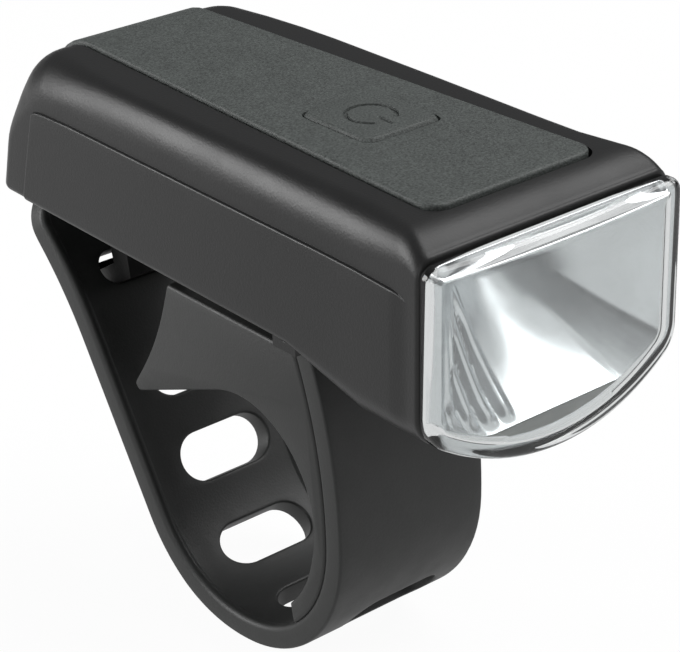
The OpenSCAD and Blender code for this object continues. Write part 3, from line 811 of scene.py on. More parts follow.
    def panel(self, track: Track, s: Array, edge: Array) -> Array:
        """The side panel: straight lines from the ledge to the foot, fanned out round the rear bend.

        Args:
            track: The form's middle line.
            s: Distances along it.
            edge: Y and Z of the ledge's last row.

        Returns:
            The points, by section and column.
        """
        first_y, last_y = REAR_CENTRE[0], edge[-1, 0]
        fanned = np.clip((s - track.marks[-3]) / (track.marks[-1] - track.marks[-3]), 0.0, 1.0)
        foot_y = np.where(s < track.marks[-3], edge[:, 0], first_y + (last_y - first_y) * fanned)
        foot = np.stack([foot_y, np.full(len(s), self.foot_z)], -1)
        down = np.linspace(0.0, 1.0, self.panel_columns + 1)[1:, None]
        place = edge[:, None] + (foot - edge)[:, None] * down
        x = half_width(place[..., 0]) - self.inset + self.proud[-1] * self.fade(place[..., 0])
        return np.concatenate([x[..., None], place], axis=-1)

    def lower(self, y: Array, side: Array) -> Array:
        """The lower part of each section, from the side round the corner to the middle of the bottom.

        It runs from a flat bottom with tight corners to a belly arc with wide ones, mixed by a soft step
        along Y.

        Args:
            y: Place of each section.
            side: Half-width of each section.

        Returns:
            The points, by section and column.
        """
        count = self.corner_columns
        bottom_z = UNDERSIDE_Z + self.inset
        turn = np.radians(np.linspace(0.0, 90.0, count))
        flat_x = np.concatenate([self.corner * (np.cos(turn) - 1.0), np.full(count - 1, -self.corner)])
        flat_z = np.concatenate([self.corner * (1.0 - np.sin(turn)), np.zeros(count - 1)])
        share = np.concatenate([np.zeros(count), np.linspace(0.0, 1.0, count)[1:]])
        x_flat = (side[:, None] + flat_x) * (1.0 - share)
        z_flat = np.broadcast_to(bottom_z + flat_z, x_flat.shape)
        corner_r = CORNER_R - self.inset
        belly_r = BELLY_R - self.inset
        belly_c = BELLY_Z + BELLY_R
        corner_x = side - corner_r
        corner_z = belly_c - np.sqrt((belly_r - corner_r) ** 2 - corner_x**2)
        lowest = np.arctan2(belly_c - corner_z, corner_x)
        bend = lowest[:, None] * np.linspace(0.0, 1.0, count - 1)
        round_x = corner_x[:, None] + corner_r * np.cos(bend)
        round_z = corner_z[:, None] - corner_r * np.sin(bend)
        sweep = lowest[:, None] + (np.pi / 2 - lowest[:, None]) * np.linspace(0.0, 1.0, count)[1:]
        belly_x = belly_r * np.cos(sweep)
        belly_z = belly_c - belly_r * np.sin(sweep)
        start = np.full((len(y), 1), self.foot_z)
        x_round = np.concatenate([side[:, None], round_x, belly_x], axis=1)
        z_round = np.concatenate([start, round_z, belly_z], axis=1)
        mix = ease((self.step_y[1] - y) / (self.step_y[1] - self.step_y[0]))[:, None]
        x = x_flat + (x_round - x_flat) * mix
        z = z_flat + (z_round - z_flat) * mix
        return np.stack([x, np.broadcast_to(y[:, None], x.shape), z], axis=-1)

    def front_lip(self, edge: Array) -> Array:
        """Rounds the front edge: it shrinks towards a core by 1 minus a cosine and comes forward by a sine.

        Args:
            edge: The first section's points.

        Returns:
            The points of the rounding, by section and column.
        """
        front_y = edge[0, 1]
        core = np.array([0.0, front_y, self.core_z])
        bend = np.radians(np.linspace(90.0, 0.0, self.lip_rows + 1))[:-1]
        shrink = self.lip * (1.0 - np.cos(bend))
        scale = 1.0 - shrink[:, None] / np.array([FRONT_HALF, np.inf, self.lip_half_z])
        lip = core + (edge - core) * scale[:, None]
        lip[..., 1] = front_y - self.lip * np.sin(bend)[:, None]
        return lip

    def rear_foot(self, rear: Array) -> tuple[Array, Array]:
        """Rounds the rear face's lower edge by a quarter circle and closes the bottom inside it.

        Args:
            rear: The last section's points above the panel.

        Returns:
            The points of the round edge and of the bottom behind it.
        """
        flat, count = self.flat_columns, self.corner_columns
        facing = np.concatenate([np.full(flat, math.pi / 2), self.turn, np.zeros(len(self.ledge_step))])
        round_off = np.radians(np.linspace(0.0, 90.0, count))
        back_in = self.corner * (1.0 - np.cos(round_off))
        under = np.repeat(rear[:, None], count, axis=1)
        under[..., 0] -= back_in * np.cos(facing)[:, None]
        under[..., 1] -= back_in * np.sin(facing)[:, None]
        under[..., 2] -= self.corner * np.sin(round_off)
        floor = np.repeat(under[flat:, -1:], flat + 1, axis=1)
        floor[..., 0] *= np.linspace(1.0, 0.0, flat + 1)
        return under, floor

    def surface(self) -> tuple[Surface, Array]:
        """Lofts the sections along the middle line and closes them at the rear.

        Returns:
            The surface of one side, open at the front, and its front edge.
        """
        track = self.track()
        s = self.stations(track)
        upper = self.upper(track, s)
        panel = self.panel(track, s, upper[:, -1, 1:])
        rows = np.concatenate([upper, panel, self.lower(panel[:, -1, 1], panel[:, -1, 0])], axis=1)
        if self.lip:
            rows = np.concatenate([self.front_lip(rows[0]), rows])
        under, floor = self.rear_foot(upper[-1])
        return Surface().grid(rows).grid(under).grid(floor), rows[0]


@dataclass
class Layer:
    """A plate that lies on the housing's skin, between two distances along its middle line."""

    start: float
    end: float
    front_half: float
    rear_half: float
    taper_end: float
    low: float
    high: float
    corner: float = 0.0
    edge: float = 0.0
    end_edge: float = 0.0

    END_STEPS = (0.0, 0.04, 0.1, 0.18, 0.3, 0.45, 0.65, 0.9, 1.2, 1.6, 2.0, 2.5)
    END_CLEAR = 3.0
    ROW_PITCH = 1.1
    FEWEST_ROWS = 4
    COLUMNS = 41

    def half(self, s: Array) -> Array:
        """Half-width: an even taper, less what the round front corners take away.

        Args:
            s: Distances along the track.

        Returns:
            The half-width at each distance.
        """
        share = np.clip((s - self.start) / (self.taper_end - self.start), 0.0, 1.0)
        wide = self.front_half + (self.rear_half - self.front_half) * share
        return wide - quarter(s - self.start, self.corner)

    def rows(self, bends: tuple[float, ...]) -> Array:
        """Distances along the plate: close together at its ends, evenly spaced between, and one at each bend.

        Args:
            bends: Distances along the track at which its bends start and end.

        Returns:
            The distances, from the first to the last.
        """
        ends = np.array(self.END_STEPS)
        inner = [b for b in bends if self.start + self.END_CLEAR < b < self.end - self.END_CLEAR]
        knots = [self.start + ends[-1], *inner, self.end - ends[-1]]
        spans = [np.linspace(a, b, max(self.FEWEST_ROWS, int((b - a) / self.ROW_PITCH)))[1:-1]
                 for a, b in zip(knots[:-1], knots[1:])]
        return np.unique(np.concatenate([self.start + ends, *spans, inner, self.end - ends]))

    def surface(self, track: Track, bends: tuple[float, ...]) -> Surface:
        """Carries the plate's section along the track, its upper edge rounded by the distance to the outline.

        Args:
            track: The track that the plate lies on.
            bends: Distances along the track at which its bends start and end.

        Returns:
            The closed surface.
        """
        s = self.rows(bends)
        across = np.sin(np.linspace(-np.pi / 2, np.pi / 2, self.COLUMNS))
        x = self.half(s)[:, None] * across
        gap = np.minimum(self.half(s)[:, None] - np.abs(x), (s - self.start)[:, None])
        high = self.high - quarter(gap, self.edge) - quarter(self.end - s, self.end_edge)[:, None]
        upper = track.lay(s[:, None], x, high)
        lower = track.lay(s[:, None], x[:, ::-1], np.full(x.shape, self.low))
        shape = Surface().grid(np.concatenate([upper, lower], axis=1), wrap_columns=True)
        for row, sign in ((0, 1), (-1, -1)):
            shape.grid(np.stack([upper[row], lower[row, ::-1]])[::sign])
        return shape


@dataclass
class Housing:
    """The moulded housing with the pad's recess, the button's hole and the charge opening."""

    wall: float = 1.8
    lid: float = 2.5
    inside_corner: float = 0.6
    inside_panel: float = 4.2
    pad_gap: float = 0.43
    opening: tuple[tuple[float, float], ...] = ((15.52, -14.8), (14.2, 38.23))
    opening_z: tuple[float, float] = (26.0, 30.2)
    port_half: float = 4.3
    port_y: tuple[float, float] = (31.0, 42.0)
    port_z: tuple[float, float] = (35.65, 39.85)
    button_half: tuple[float, float] = (5.7, 6.0)
    button_z: tuple[float, float] = (43.0, 49.0)
    edge: float = 0.12
    edge_angle: float = 40.0

    def cutters(self, track: Track, recess: Layer) -> list[bpy.types.Object]:
        """Makes the shapes of the pad's recess, the button's hole, the charge port and the bottom's opening.

        Args:
            track: The housing's middle line.
            recess: The pad's place, grown by its gap.

        Returns:
            The closed shapes.
        """
        x, y = self.button_half
        corners = np.array(self.opening)
        return [
            recess.surface(track, tuple(track.marks)).build("recess"),
            block("button_hole", (-x, KEY_Y - y, self.button_z[0]), (x, KEY_Y + y, self.button_z[1])),
            block("port", (-self.port_half, self.port_y[0], self.port_z[0]),
                  (self.port_half, self.port_y[1], self.port_z[1])),
            upright("opening", np.concatenate([corners, corners[::-1] * [-1.0, 1.0]]), *self.opening_z),
        ]

    def build(self, recess: Layer) -> bpy.types.Object:
        """Makes the skin and cuts the inside, the recess and the openings out of it.

        Args:
            recess: The pad's place, grown by its gap.

        Returns:
            The dressed housing.
        """
        form = HousingForm()
        inside = HousingForm(inset=self.wall, lid=self.lid, corner=self.inside_corner, lip=0.0,
                             panel_depth=self.inside_panel, rear_panel_depth=self.inside_panel)
        skin, edge = form.surface()
        space, mouth = inside.surface()
        shell = skin.add(space).grid(np.stack([edge, mouth])).mirror().build("housing_shell")
        carve(shell, self.cutters(form.track(), recess))
        bevel(shell, self.edge, segments=2, angle=self.edge_angle)
        dress(shell, Finishes.HOUSING, Body.LAMP, ("main_housing",))
        return shell


@dataclass
class TopRubber:
    """The grained pad on the top, the power key in it and the charge flap at its rear end."""

    pad_front_y: float = -33.4
    front_half: float = 11.9
    rear_half: float = 8.9
    corner: float = 2.3
    depth: float = 1.0
    proud: float = 0.5
    edge: float = 0.4
    recess_high: float = 3.0
    flap_start: float = 0.85
    flap_end: float = 11.1
    flap_gap: float = 0.3
    flap_lift: float = 0.1
    plug_span: tuple[float, float] = (2.6, 4.7)
    plug_half: float = 4.0
    plug_power: float = 6.0
    plug_deep: float = 1.9
    plug_shrink: tuple[float, ...] = (1.0, 1.0, 0.97, 0.9)
    plug_above: tuple[float, ...] = (1.9, 0.3, 0.1, 0.0)
    plug_points: int = 48
    key_half: tuple[float, float] = (5.5, 5.8)
    key_power: float = 9.0
    key_rise: float = 0.35
    key_gap: float = 0.18
    key_foot_z: float = 43.95
    key_hole_reach: float = 2.0
    key_insets: tuple[float, ...] = (0.42, 0.34, 0.27, 0.16, 0.06, 0.01, 0.0)
    key_drops: tuple[float, ...] = (0.0, 0.02, 0.07, 0.24, 0.4, 0.48, 0.6)
    key_inner_rings: tuple[float, ...] = (0.02, 0.5, 1.0, 1.5, 2.0)
    key_outer_rings: tuple[float, ...] = (3.8, 4.3)
    key_points: int = 288
    hole_points: int = 120
    mark_r: tuple[float, float] = (2.5, 3.1)
    mark_depth: float = 0.3
    mark_open: float = 30.0
    mark_open_soft: float = 3.0
    mark_soft: float = 0.1
    bar_half: float = 0.3
    bar_y: tuple[float, float] = (-3.6, -1.1)
    bar_soft: float = 0.12

    def track(self) -> Track:
        """The housing's middle line."""
        return HousingForm().track()

    def pad_start(self, track: Track) -> float:
        """Distance along the track of the pad's front edge."""
        return float(track.marks[1]) + self.pad_front_y - BROW_CENTRE[0]

    def recess(self, gap: float) -> Layer:
        """The place of the pad and the flap in the housing.

        Args:
            gap: How far it reaches past them.

        Returns:
            The plate to cut out.
        """
        track = self.track()
        return Layer(self.pad_start(track) - gap, float(track.marks[3]) + self.flap_end + 2.0 * gap,
                     self.front_half + gap, self.rear_half + gap, float(track.marks[2]), -self.depth,
                     self.recess_high, corner=self.corner + gap)

    def outline(self, angle: Array, grow: float) -> Array:
        """The key's outline, a square with round corners, grown by a distance."""
        return superellipse(angle, self.key_half[0] + grow, self.key_half[1] + grow, self.key_power)

    def mark(self, x: Array, y: Array) -> Array:
        """The sunk sign as a soft mask: a ring, open to the front over an angle, and a bar in that opening.

        Args:
            x: Places along X from the key's middle.
            y: Places along Y from the key's middle.

        Returns:
            The share of the sign's depth at each place.
        """
        low, high = self.mark_r
        r = np.hypot(x, y)
        away = np.degrees(np.abs(np.arctan2(x, -y)))
        ring = (ease((r - low) / self.mark_soft) * ease((high - r) / self.mark_soft)
                * ease((away - self.mark_open) / self.mark_open_soft))
        bar = (ease((self.bar_half - np.abs(x)) / self.mark_soft) * ease((y - self.bar_y[0]) / self.bar_soft)
               * ease((self.bar_y[1] - y) / self.bar_soft))
        return np.maximum(ring, bar)

    def key_surface(self) -> Surface:
        """The key: rings that grow from circles round the sign to the outline, with a sloping edge.

        Returns:
            The closed surface.
        """
        angle = around(self.key_points)
        low, high = self.mark_r
        beside = [low - self.bar_soft, low, low + self.mark_soft,
                  high - self.mark_soft, high, high + self.bar_soft]
        radii = np.array([*self.key_inner_rings, *beside, *self.key_outer_rings])
        circles = radii[:, None, None] * np.stack([np.cos(angle), np.sin(angle)], -1)
        edges = np.stack([self.outline(angle, -inset) for inset in self.key_insets])
        x, y = np.moveaxis(np.concatenate([circles, edges]), -1, 0)
        drop = np.concatenate([np.zeros(len(radii)), self.key_drops])
        top = TOP_Z + self.proud + self.key_rise
        z = top - drop[:, None] - self.mark_depth * self.mark(x, y)
        face = np.stack([x, y + KEY_Y, z], -1)
        foot = face[-1].copy()
        foot[:, 2] = self.key_foot_z
        shape = Surface().grid(np.concatenate([face, foot[None]]), wrap_columns=True)
        return shape.polygon(face[0, ::-1]).polygon(foot)

    def pad(self, track: Track) -> bpy.types.Object:
        """The pad with the key's hole in it.

        Args:
            track: The housing's middle line.

        Returns:
            The dressed pad.
        """
        plate = Layer(self.pad_start(track), float(track.marks[3]) + self.flap_start - self.flap_gap,
                      self.front_half, self.rear_half, float(track.marks[2]), -self.depth, self.proud,
                      corner=self.corner, edge=self.edge)
        pad = plate.surface(track, tuple(track.marks)).build("top_pad_rubber")
        ring = self.outline(around(self.hole_points), self.key_gap) + [0.0, KEY_Y]
        hole = upright("key_hole", ring, TOP_Z - self.key_hole_reach, TOP_Z + self.key_hole_reach)
        carve(pad, [hole], crease=40.0)
        dress(pad, Finishes.PAD, Body.LAMP, ("top_pad",))
        return pad

    def key(self) -> bpy.types.Object:
        """Builds and dresses the power key."""
        key = self.key_surface().build("power_key", crease=50.0)
        dress(key, Finishes.PAD, Body.BUTTON, ("power_button",))
        return key

    def plug(self, track: Track) -> Surface:
        """The plug behind the flap: a box with round corners that is carried inwards and shrinks at its end.

        Args:
            track: The housing's middle line.

        Returns:
            The closed surface.
        """
        start, end = (float(track.marks[3]) + distance for distance in self.plug_span)
        flat = superellipse(around(self.plug_points), self.plug_half, (end - start) / 2.0, self.plug_power)
        shrink, above = np.array([self.plug_shrink, self.plug_above])[..., None]
        along = (start + end) / 2.0 + shrink * flat[:, 1]
        rings = track.lay(along, shrink * flat[:, 0], above - self.plug_deep)
        return Surface().grid(rings, wrap_columns=True).polygon(rings[0, ::-1]).polygon(rings[-1])

    def flap(self, track: Track) -> bpy.types.Object:
        """The charge flap with its plug.

        Args:
            track: The housing's middle line.

        Returns:
            The dressed flap.
        """
        start, end = (float(track.marks[3]) + distance for distance in (self.flap_start, self.flap_end))
        leaf = Layer(start, end, self.rear_half, self.rear_half, end, self.flap_lift - self.depth, self.proud,
                     edge=self.edge, end_edge=self.edge)
        flap = leaf.surface(track, tuple(track.marks)).build("charge_flap_rubber")
        join(flap, self.plug(track).build("charge_plug"))
        dress(flap, Finishes.PAD, Body.FLAP, ("charge_flap",))
        return flap

    def build(self) -> list[bpy.types.Object]:
        """Makes and dresses the pad, the key and the flap.

        Returns:
            The three pieces.
        """
        track = self.track()
        return [self.pad(track), self.key(), self.flap(track)]


def join(piece: bpy.types.Object, other: bpy.types.Object) -> None:
    """Adds the mesh of another object to a piece.

    Args:
        piece: The piece that grows.
        other: The object that it takes in, which is removed.
    """
    work = bmesh.new()
    work.from_mesh(piece.data)
    work.from_mesh(other.data)
    work.to_mesh(piece.data)
    work.free()
    bpy.data.objects.remove(other)
    smooth(piece, crease=40.0)


@dataclass
class LampFront:
    """The clear lens, its seal and the silvered reflector."""

    top_z: float = 45.1
    top_corner: float = 1.7
    least_corner: float = 0.4
    centre_z: float = 33.35
    side_y: float = -40.3
    bulge: float = 0.9
    rake: float = 0.4
    back_y: float = -38.7
    face: float = 1.2
    rim: float = 1.6
    round_off: float = 1.1
    inner_edge: float = 0.3
    margin: float = 0.05
    seal_insets: tuple[float, float] = (0.3, 0.8)
    seal_reach: float = 0.02
    bowl_rim_y: float = -38.9
    bowl_depth: float = 13.5
    bowl_power: float = 1.5
    bowl_inset: float = 1.95
    bowl_middle_z: float = 40.3
    bowl_halves: tuple[float, float, float] = (15.5, 2.8, 16.9)
    bowl_round_share: float = 0.6
    bowl_rings: int = 70
    bowl_fineness: int = 4
    chin_z: float = 23.4
    flute_pitch: float = 2.6
    flute_depth: float = 0.9
    flute_from: float = 4.5
    flute_soft: float = 1.2
    flute_top: tuple[float, float] = (5.0, 6.0)
    flute_rim_share: float = 0.12
    shell: float = 0.8
    flange_insets: tuple[float, float] = (0.85, 2.1)
    flange_reach: tuple[float, float] = (-0.1, 0.04)
    face_rings: int = 14

    def outline(self, inset: float) -> Array:
        """The lens outline in X and Z, a distance inside the housing's skin: a D that lies on its back.

        It runs from the middle of the flat top over a round corner, down the side, round the wide lower
        corner and along the belly's arc to the middle of the bottom, and back up the other side.

        Args:
            inset: Distance inside the skin.

        Returns:
            The points of the closed loop.
        """
        side = FRONT_HALF - inset
        top = self.top_z - inset
        corner_x = FRONT_HALF - CORNER_R
        belly_c = BELLY_Z + BELLY_R
        corner_z = belly_c - math.sqrt((BELLY_R - CORNER_R) ** 2 - corner_x**2)
        lowest = math.degrees(math.atan2(corner_z - belly_c, corner_x))
        bend_r = max(self.top_corner - inset, self.least_corner)
        bend_c = (side - bend_r, top - bend_r)
        flat = np.column_stack([np.linspace(0.0, bend_c[0], 10)[:-1], np.full(9, top)])
        bend = arc(bend_c, bend_r, 90.0, 0.0, 9)
        straight = np.column_stack([np.full(10, side), np.linspace(bend_c[1], corner_z, 12)[1:-1]])
        low = arc((corner_x, corner_z), CORNER_R - inset, 0.0, lowest, 12)
        belly = arc((0.0, belly_c), BELLY_R - inset, lowest, -90.0, 16)[1:]
        right = np.concatenate([flat, bend, straight, low, belly])
        return np.concatenate([right, right[-2:0:-1] * [-1.0, 1.0]])

    def front(self, flat: Array) -> Array:
        """Y of the lens's outer face: bulged as a square over its width and raked evenly over its height.

        Args:
            flat: X and Z of the places, in the last axis.

        Returns:
            Y at each place.
        """
        x, z = flat[..., 0], flat[..., 1]
        bow = self.bulge * (1.0 - (x / FRONT_HALF) ** 2)
        return self.side_y - bow - self.rake * (self.top_z - z) / (self.top_z - BELLY_Z)

    def ring(self, inset: float, y: Array) -> Array:
        """The outline at an inset, at given Y."""
        flat = self.outline(inset)
        return np.stack([flat[:, 0], np.broadcast_to(y, len(flat)), flat[:, 1]], -1)

    def fill(self, inset: float, behind: float) -> Array:
        """Rings that shrink from the outline to the middle, on the outer face moved back.

        Args:
            inset: Inset of the first ring.
            behind: Distance behind the outer face.

        Returns:
            The points, by ring.
        """
        middle = np.array([0.0, self.centre_z])
        scale = np.linspace(1.0, 0.0, self.face_rings)[:, None, None]
        flat = middle + (self.outline(inset) - middle) * scale
        return np.stack([flat[..., 0], self.front(flat) + behind, flat[..., 1]], -1)

    def lens(self) -> bpy.types.Object:
        """The lens: a bulged face with a round edge, a deep rim, and the same again inside.

        Returns:
            The closed, dressed lens.
        """
        turn = np.radians(np.linspace(0.0, 90.0, 8))
        insets = self.margin + self.round_off * (1.0 - np.sin(turn))
        backs = self.round_off * (1.0 - np.cos(turn))
        edge = [self.ring(i, self.front(self.outline(i)) + b) for i, b in zip(insets, backs)]
        inner = self.margin + self.rim
        rings = [*self.fill(self.margin + self.round_off, 0.0)[::-1], *edge[1:],
                 self.ring(self.margin, self.back_y), self.ring(inner, self.back_y),
                 self.ring(inner, self.front(self.outline(inner)) + self.face + self.inner_edge),
                 *self.fill(inner + self.inner_edge, self.face)]
        lens = Surface().grid(np.stack(rings), wrap_columns=True).build("clear_lens", crease=45.0)
        dress(lens, Finishes.LENS, Body.LAMP, ("front_lens",))
        return lens

    def band(self, name: str, insets: tuple[float, float], across: tuple[float, float]) -> bpy.types.Object:
        """A flat band carried round the outline.

        Args:
            name: Name of the object.
            insets: Its outer and inner inset.
            across: Y of its rear and its front.

        Returns:
            The closed object.
        """
        low, high = insets
        rear, front = across
        rings = [self.ring(low, rear), self.ring(low, front), self.ring(high, front), self.ring(high, rear)]
        return Surface().grid(np.stack(rings), wrap_rows=True, wrap_columns=True).build(name)

    def seal(self) -> bpy.types.Object:
        """Builds and dresses the black seal, a band between the lens and the housing."""
        seal = self.band("black_seal", self.seal_insets, (FRONT_Y, self.back_y + self.seal_reach))
        dress(seal, Finishes.SEAL, Body.LAMP, ("lens_seal",))
        return seal

    def bowl(self) -> Array:
        """The bowl's inner face: its depth falls with a power of the share of the way out to the rim.

        The rings turn from ellipses round the middle into the lens's outline, cut off at the chin. The lower
        left carries upright flutes, the bare size of a sine over X, which fade out at the rim and towards
        the top.

        Returns:
            The points, by ring.
        """
        flat = self.outline(self.bowl_inset)
        flat[:, 1] = np.maximum(flat[:, 1], self.chin_z)
        knots = np.arange(len(flat) + 1)
        fine = np.linspace(0.0, len(flat), self.bowl_fineness * len(flat) + 1)[:-1]
        middle = np.array([0.0, self.bowl_middle_z])
        ray = np.column_stack([np.interp(fine, knots, np.append(c, c[0])) for c in flat.T]) - middle
        half_x, half_up, half_down = self.bowl_halves
        half_z = np.where(ray[:, 1] > 0.0, half_up, half_down)
        round_reach = 1.0 / np.hypot(ray[:, 0] / half_x, ray[:, 1] / half_z)
        share = np.sin(np.linspace(np.pi / 2, 0.0, self.bowl_rings))[:, None, None]
        rounder = ease((1.0 - share) / self.bowl_round_share)
        place = middle + ray * share * (1.0 + (round_reach[:, None] - 1.0) * rounder)
        x, z = place[..., 0], place[..., 1]
        depth = self.bowl_depth * (1.0 - share[..., 0] ** self.bowl_power)
        above, fade = self.flute_top
        lower = ease((self.centre_z - z + above) / fade) * ease((-x - self.flute_from) / self.flute_soft)
        inside = ease((1.0 - share[..., 0]) / self.flute_rim_share)
        wave = np.abs(np.sin(np.pi * (x + self.flute_from) / self.flute_pitch))
        y = self.bowl_rim_y + depth - self.flute_depth * wave * lower * inside
        return np.stack([x, y, z], -1)

    def reflector(self) -> bpy.types.Object:
        """The silvered bowl, given its wall's thickness, with the flange round it.

        Returns:
            The dressed reflector.
        """
        bowl = Surface().grid(self.bowl(), wrap_columns=True).build("silvered_bowl", crease=60.0)
        wall = bowl.modifiers.new("wall", "SOLIDIFY")
        wall.thickness = self.shell * MM
        wall.offset = 1.0
        settle(bowl)
        across = (FRONT_Y + self.flange_reach[0], self.back_y + self.flange_reach[1])
        join(bowl, self.band("silvered_flange", self.flange_insets, across))
        dress(bowl, Finishes.MIRROR, Body.LAMP, ("reflector",))
        return bowl

    def build(self) -> list[bpy.types.Object]:
        """Makes and dresses the lens, the seal and the reflector."""
        return [self.lens(), self.seal(), self.reflector()]


# Lines that the strap and the saddle share
RUN_CENTRE = (45.64, -1.2)
RUN_R = 62.0
LOOP_CENTRE = (2.24, -1.2)
LOOP_R = 18.6
TAIL_LEAN = 32.0
PIN_Z = 25.3
PIN = (RUN_CENTRE[0] - math.sqrt(RUN_R**2 - (PIN_Z - RUN_CENTRE[1]) ** 2), PIN_Z)


@dataclass(frozen=True)
class Slot:
    """A round-ended slot of the strap: its middle along the strap and along X, its length and its height."""

    centre: float
    aside: float
    wide: float
    tall: float


@dataclass
class Strap:
    """The ladder strap: a bead on its pin, the front run, the round bottom and the free tail."""

    width: float = 22.4
    thick: float = 3.0
    outset: float = 0.3
    outset_from: float = 0.45
    outset_over: float = 14.0
    edge: float = 0.8
    outer_edge: float = 0.4
    border: float = 1.5
    lip: float = 0.22
    lip_steps: tuple[tuple[float, float], ...] = ((1.35, 0.02), (1.2, 0.132), (1.0, 0.22))
    slot_w: float = 13.6
    slot_h: float = 6.4
    slot_edge: float = 0.35
    slot_steps: tuple[float, ...] = (1.0, 0.7, 0.4)
    slot_first: float = 5.8
    slot_shift: float = 1.2
    slot_aside: float = 1.2
    slot_drop: float = 1.2
    slots_each_side: int = 3
    peg_slot: tuple[float, float, float] = (-0.55, 12.8, 4.5)
    pitch: float = 12.9
    cell: float = 4.7
    bead: float = 2.0
    bead_from: float = -1.4
    tail_runs: tuple[tuple[float, float], ...] = ((24.0, 0.0), (13.6, -0.0185), (6.2, 0.1))
    tail_corner: float = 5.0
    bend_reach: float = 2.5
    bend_way: tuple[float, float] = (0.866, 0.5)
    columns: int = 23
    rows: int = 11
    span_rows: int = 5
    run_rows: int = 24
    bead_rows: int = 17

    def track(self) -> Track:
        """The strap's middle line, with its normals towards the bar.

        Returns:
            The track, from the pin to the tail's end.
        """
        drop = math.asin((PIN[1] - RUN_CENTRE[1]) / RUN_R)
        heading = math.degrees(math.pi - drop) + 90.0
        loop = (LOOP_R * math.radians(180.0 - TAIL_LEAN), 1.0 / LOOP_R)
        return Track(PIN, heading, [(RUN_R * drop, 1.0 / RUN_R), loop, *self.tail_runs])

    def rim(self) -> Array:
        """One border of the strap's section, from the inner to the outer face, with a raised inner lip.

        Returns:
            The points, as X and thickness.
        """
        half, side = self.thick / 2.0, self.width / 2.0
        lip = np.array([side, half]) + np.array([(self.border, 0.0), *self.lip_steps]) * [-1.0, 1.0]
        inner = arc((side - self.edge, half + self.lip - self.edge), self.edge, 90.0, 0.0, 7)
        outer = arc((side - self.outer_edge, self.outer_edge - half), self.outer_edge, 0.0, -90.0, 5)
        return np.concatenate([lip, inner, outer, [[side - self.border, -half]]])

    def section(self) -> Array:
        """The whole closed section, from the inner face round to the outer one.

        Returns:
            The points, as X and thickness.
        """
        half, inner = self.thick / 2.0, self.width / 2.0 - self.border
        across = np.linspace(-inner, inner, self.columns)[1:-1]
        rim = self.rim()
        return np.concatenate([np.column_stack([across, np.full(len(across), half)]), rim,
                               np.column_stack([across[::-1], np.full(len(across), -half)]),
                               rim[::-1] * [-1.0, 1.0]])

    def lay(self, track: Track, s: Array, x: Array, v: Array) -> Array:
        """Puts flat points on the middle line; a soft step along the loop thickens the tail outwards.

        Args:
            track: The strap's middle line.
            s: Distances along it.
            x: Places along X.
            v: Places through the thickness.

        Returns:
            The points.
        """
        start = track.marks[1] + self.outset_from * math.pi * LOOP_R
        grown = ease((s - start) / self.outset_over)
        thin = np.where(v < 0.0, 1.0 - 2.0 * self.outset / self.thick * (1.0 - grown), 1.0)
        return track.lay(s, x, (v + self.outset) * thin - self.outset * (1.0 + grown))

    def slot_cell(self, track: Track, slot: Slot) -> Surface:
        """One slot with the strap round it.

        Lines run from a rectangle's border to the slot's round-ended outline, nearest point to nearest point,
        and over its rounded edge through the strap.

        Args:
            track: The strap's middle line.
            slot: The slot.

        Returns:
            The surface with the strap's borders beside the slot.
        """
        inner = self.width / 2.0 - self.border
        s_line = np.linspace(-self.cell, self.cell, self.rows)
        x_line = np.linspace(-inner, inner, self.columns)
        low = np.column_stack([np.full(self.columns, -self.cell), x_line])[:-1]
        right = np.column_stack([s_line, np.full(self.rows, inner)])[:-1]
        border = np.concatenate([low, right, -low, -right])
        reach = (slot.wide - slot.tall) / 2.0
        along = np.clip(border[:, 1], slot.aside - reach, slot.aside + reach)
        nearest = np.column_stack([np.zeros(len(border)), along])
        away = border - nearest
        length = np.linalg.norm(away, axis=1, keepdims=True)
        unit = away / length
        spare = length - slot.tall / 2.0
        half = self.thick / 2.0
        turn = np.radians(np.linspace(90.0, 0.0, 5))
        steps = np.array(self.slot_steps)[:, None, None]
        out = np.concatenate([np.maximum(steps * spare, self.slot_edge),
                              np.broadcast_to((self.slot_edge * (1.0 - np.cos(turn)))[:, None, None],
                                              (len(turn), *spare.shape))])
        height = np.concatenate([np.full(len(steps), half), half - self.slot_edge * (1.0 - np.sin(turn))])
        rings = nearest + unit * (slot.tall / 2.0 + out)
        flat = np.concatenate([rings, rings[::-1]])
        v = np.concatenate([height, -height[::-1]])[:, None]
        points = self.lay(track, slot.centre + flat[..., 0], flat[..., 1], v)
        shape = Surface().grid(points, wrap_columns=True)
        rim = self.rim()
        for side in Side:
            shape.grid(self.lay(track, slot.centre + s_line[:, None], side.value * rim[:, 0], rim[:, 1]))
        return shape

    def span(self, track: Track, s: Array) -> Array:
        """The plain strap: its section, thick round the pin and rounded off at the tail's corners and end.

        Args:
            track: The strap's middle line.
            s: Distances along it.

        Returns:
            The points, by section.
        """
        section = self.section()
        half = self.thick / 2.0
        bead = np.sqrt(np.clip(self.bead**2 - s**2, 0.0, None))
        left = track.marks[-1] - s
        wide = 1.0 - quarter(left, self.tail_corner) / (self.width / 2.0)
        deep = np.where(s < 0.0, bead, np.maximum(bead, half)) / half
        scale = deep * (1.0 - quarter(left, self.edge) / half)
        return self.lay(track, s[:, None], section[:, 0] * wide[:, None], section[:, 1] * scale[:, None])

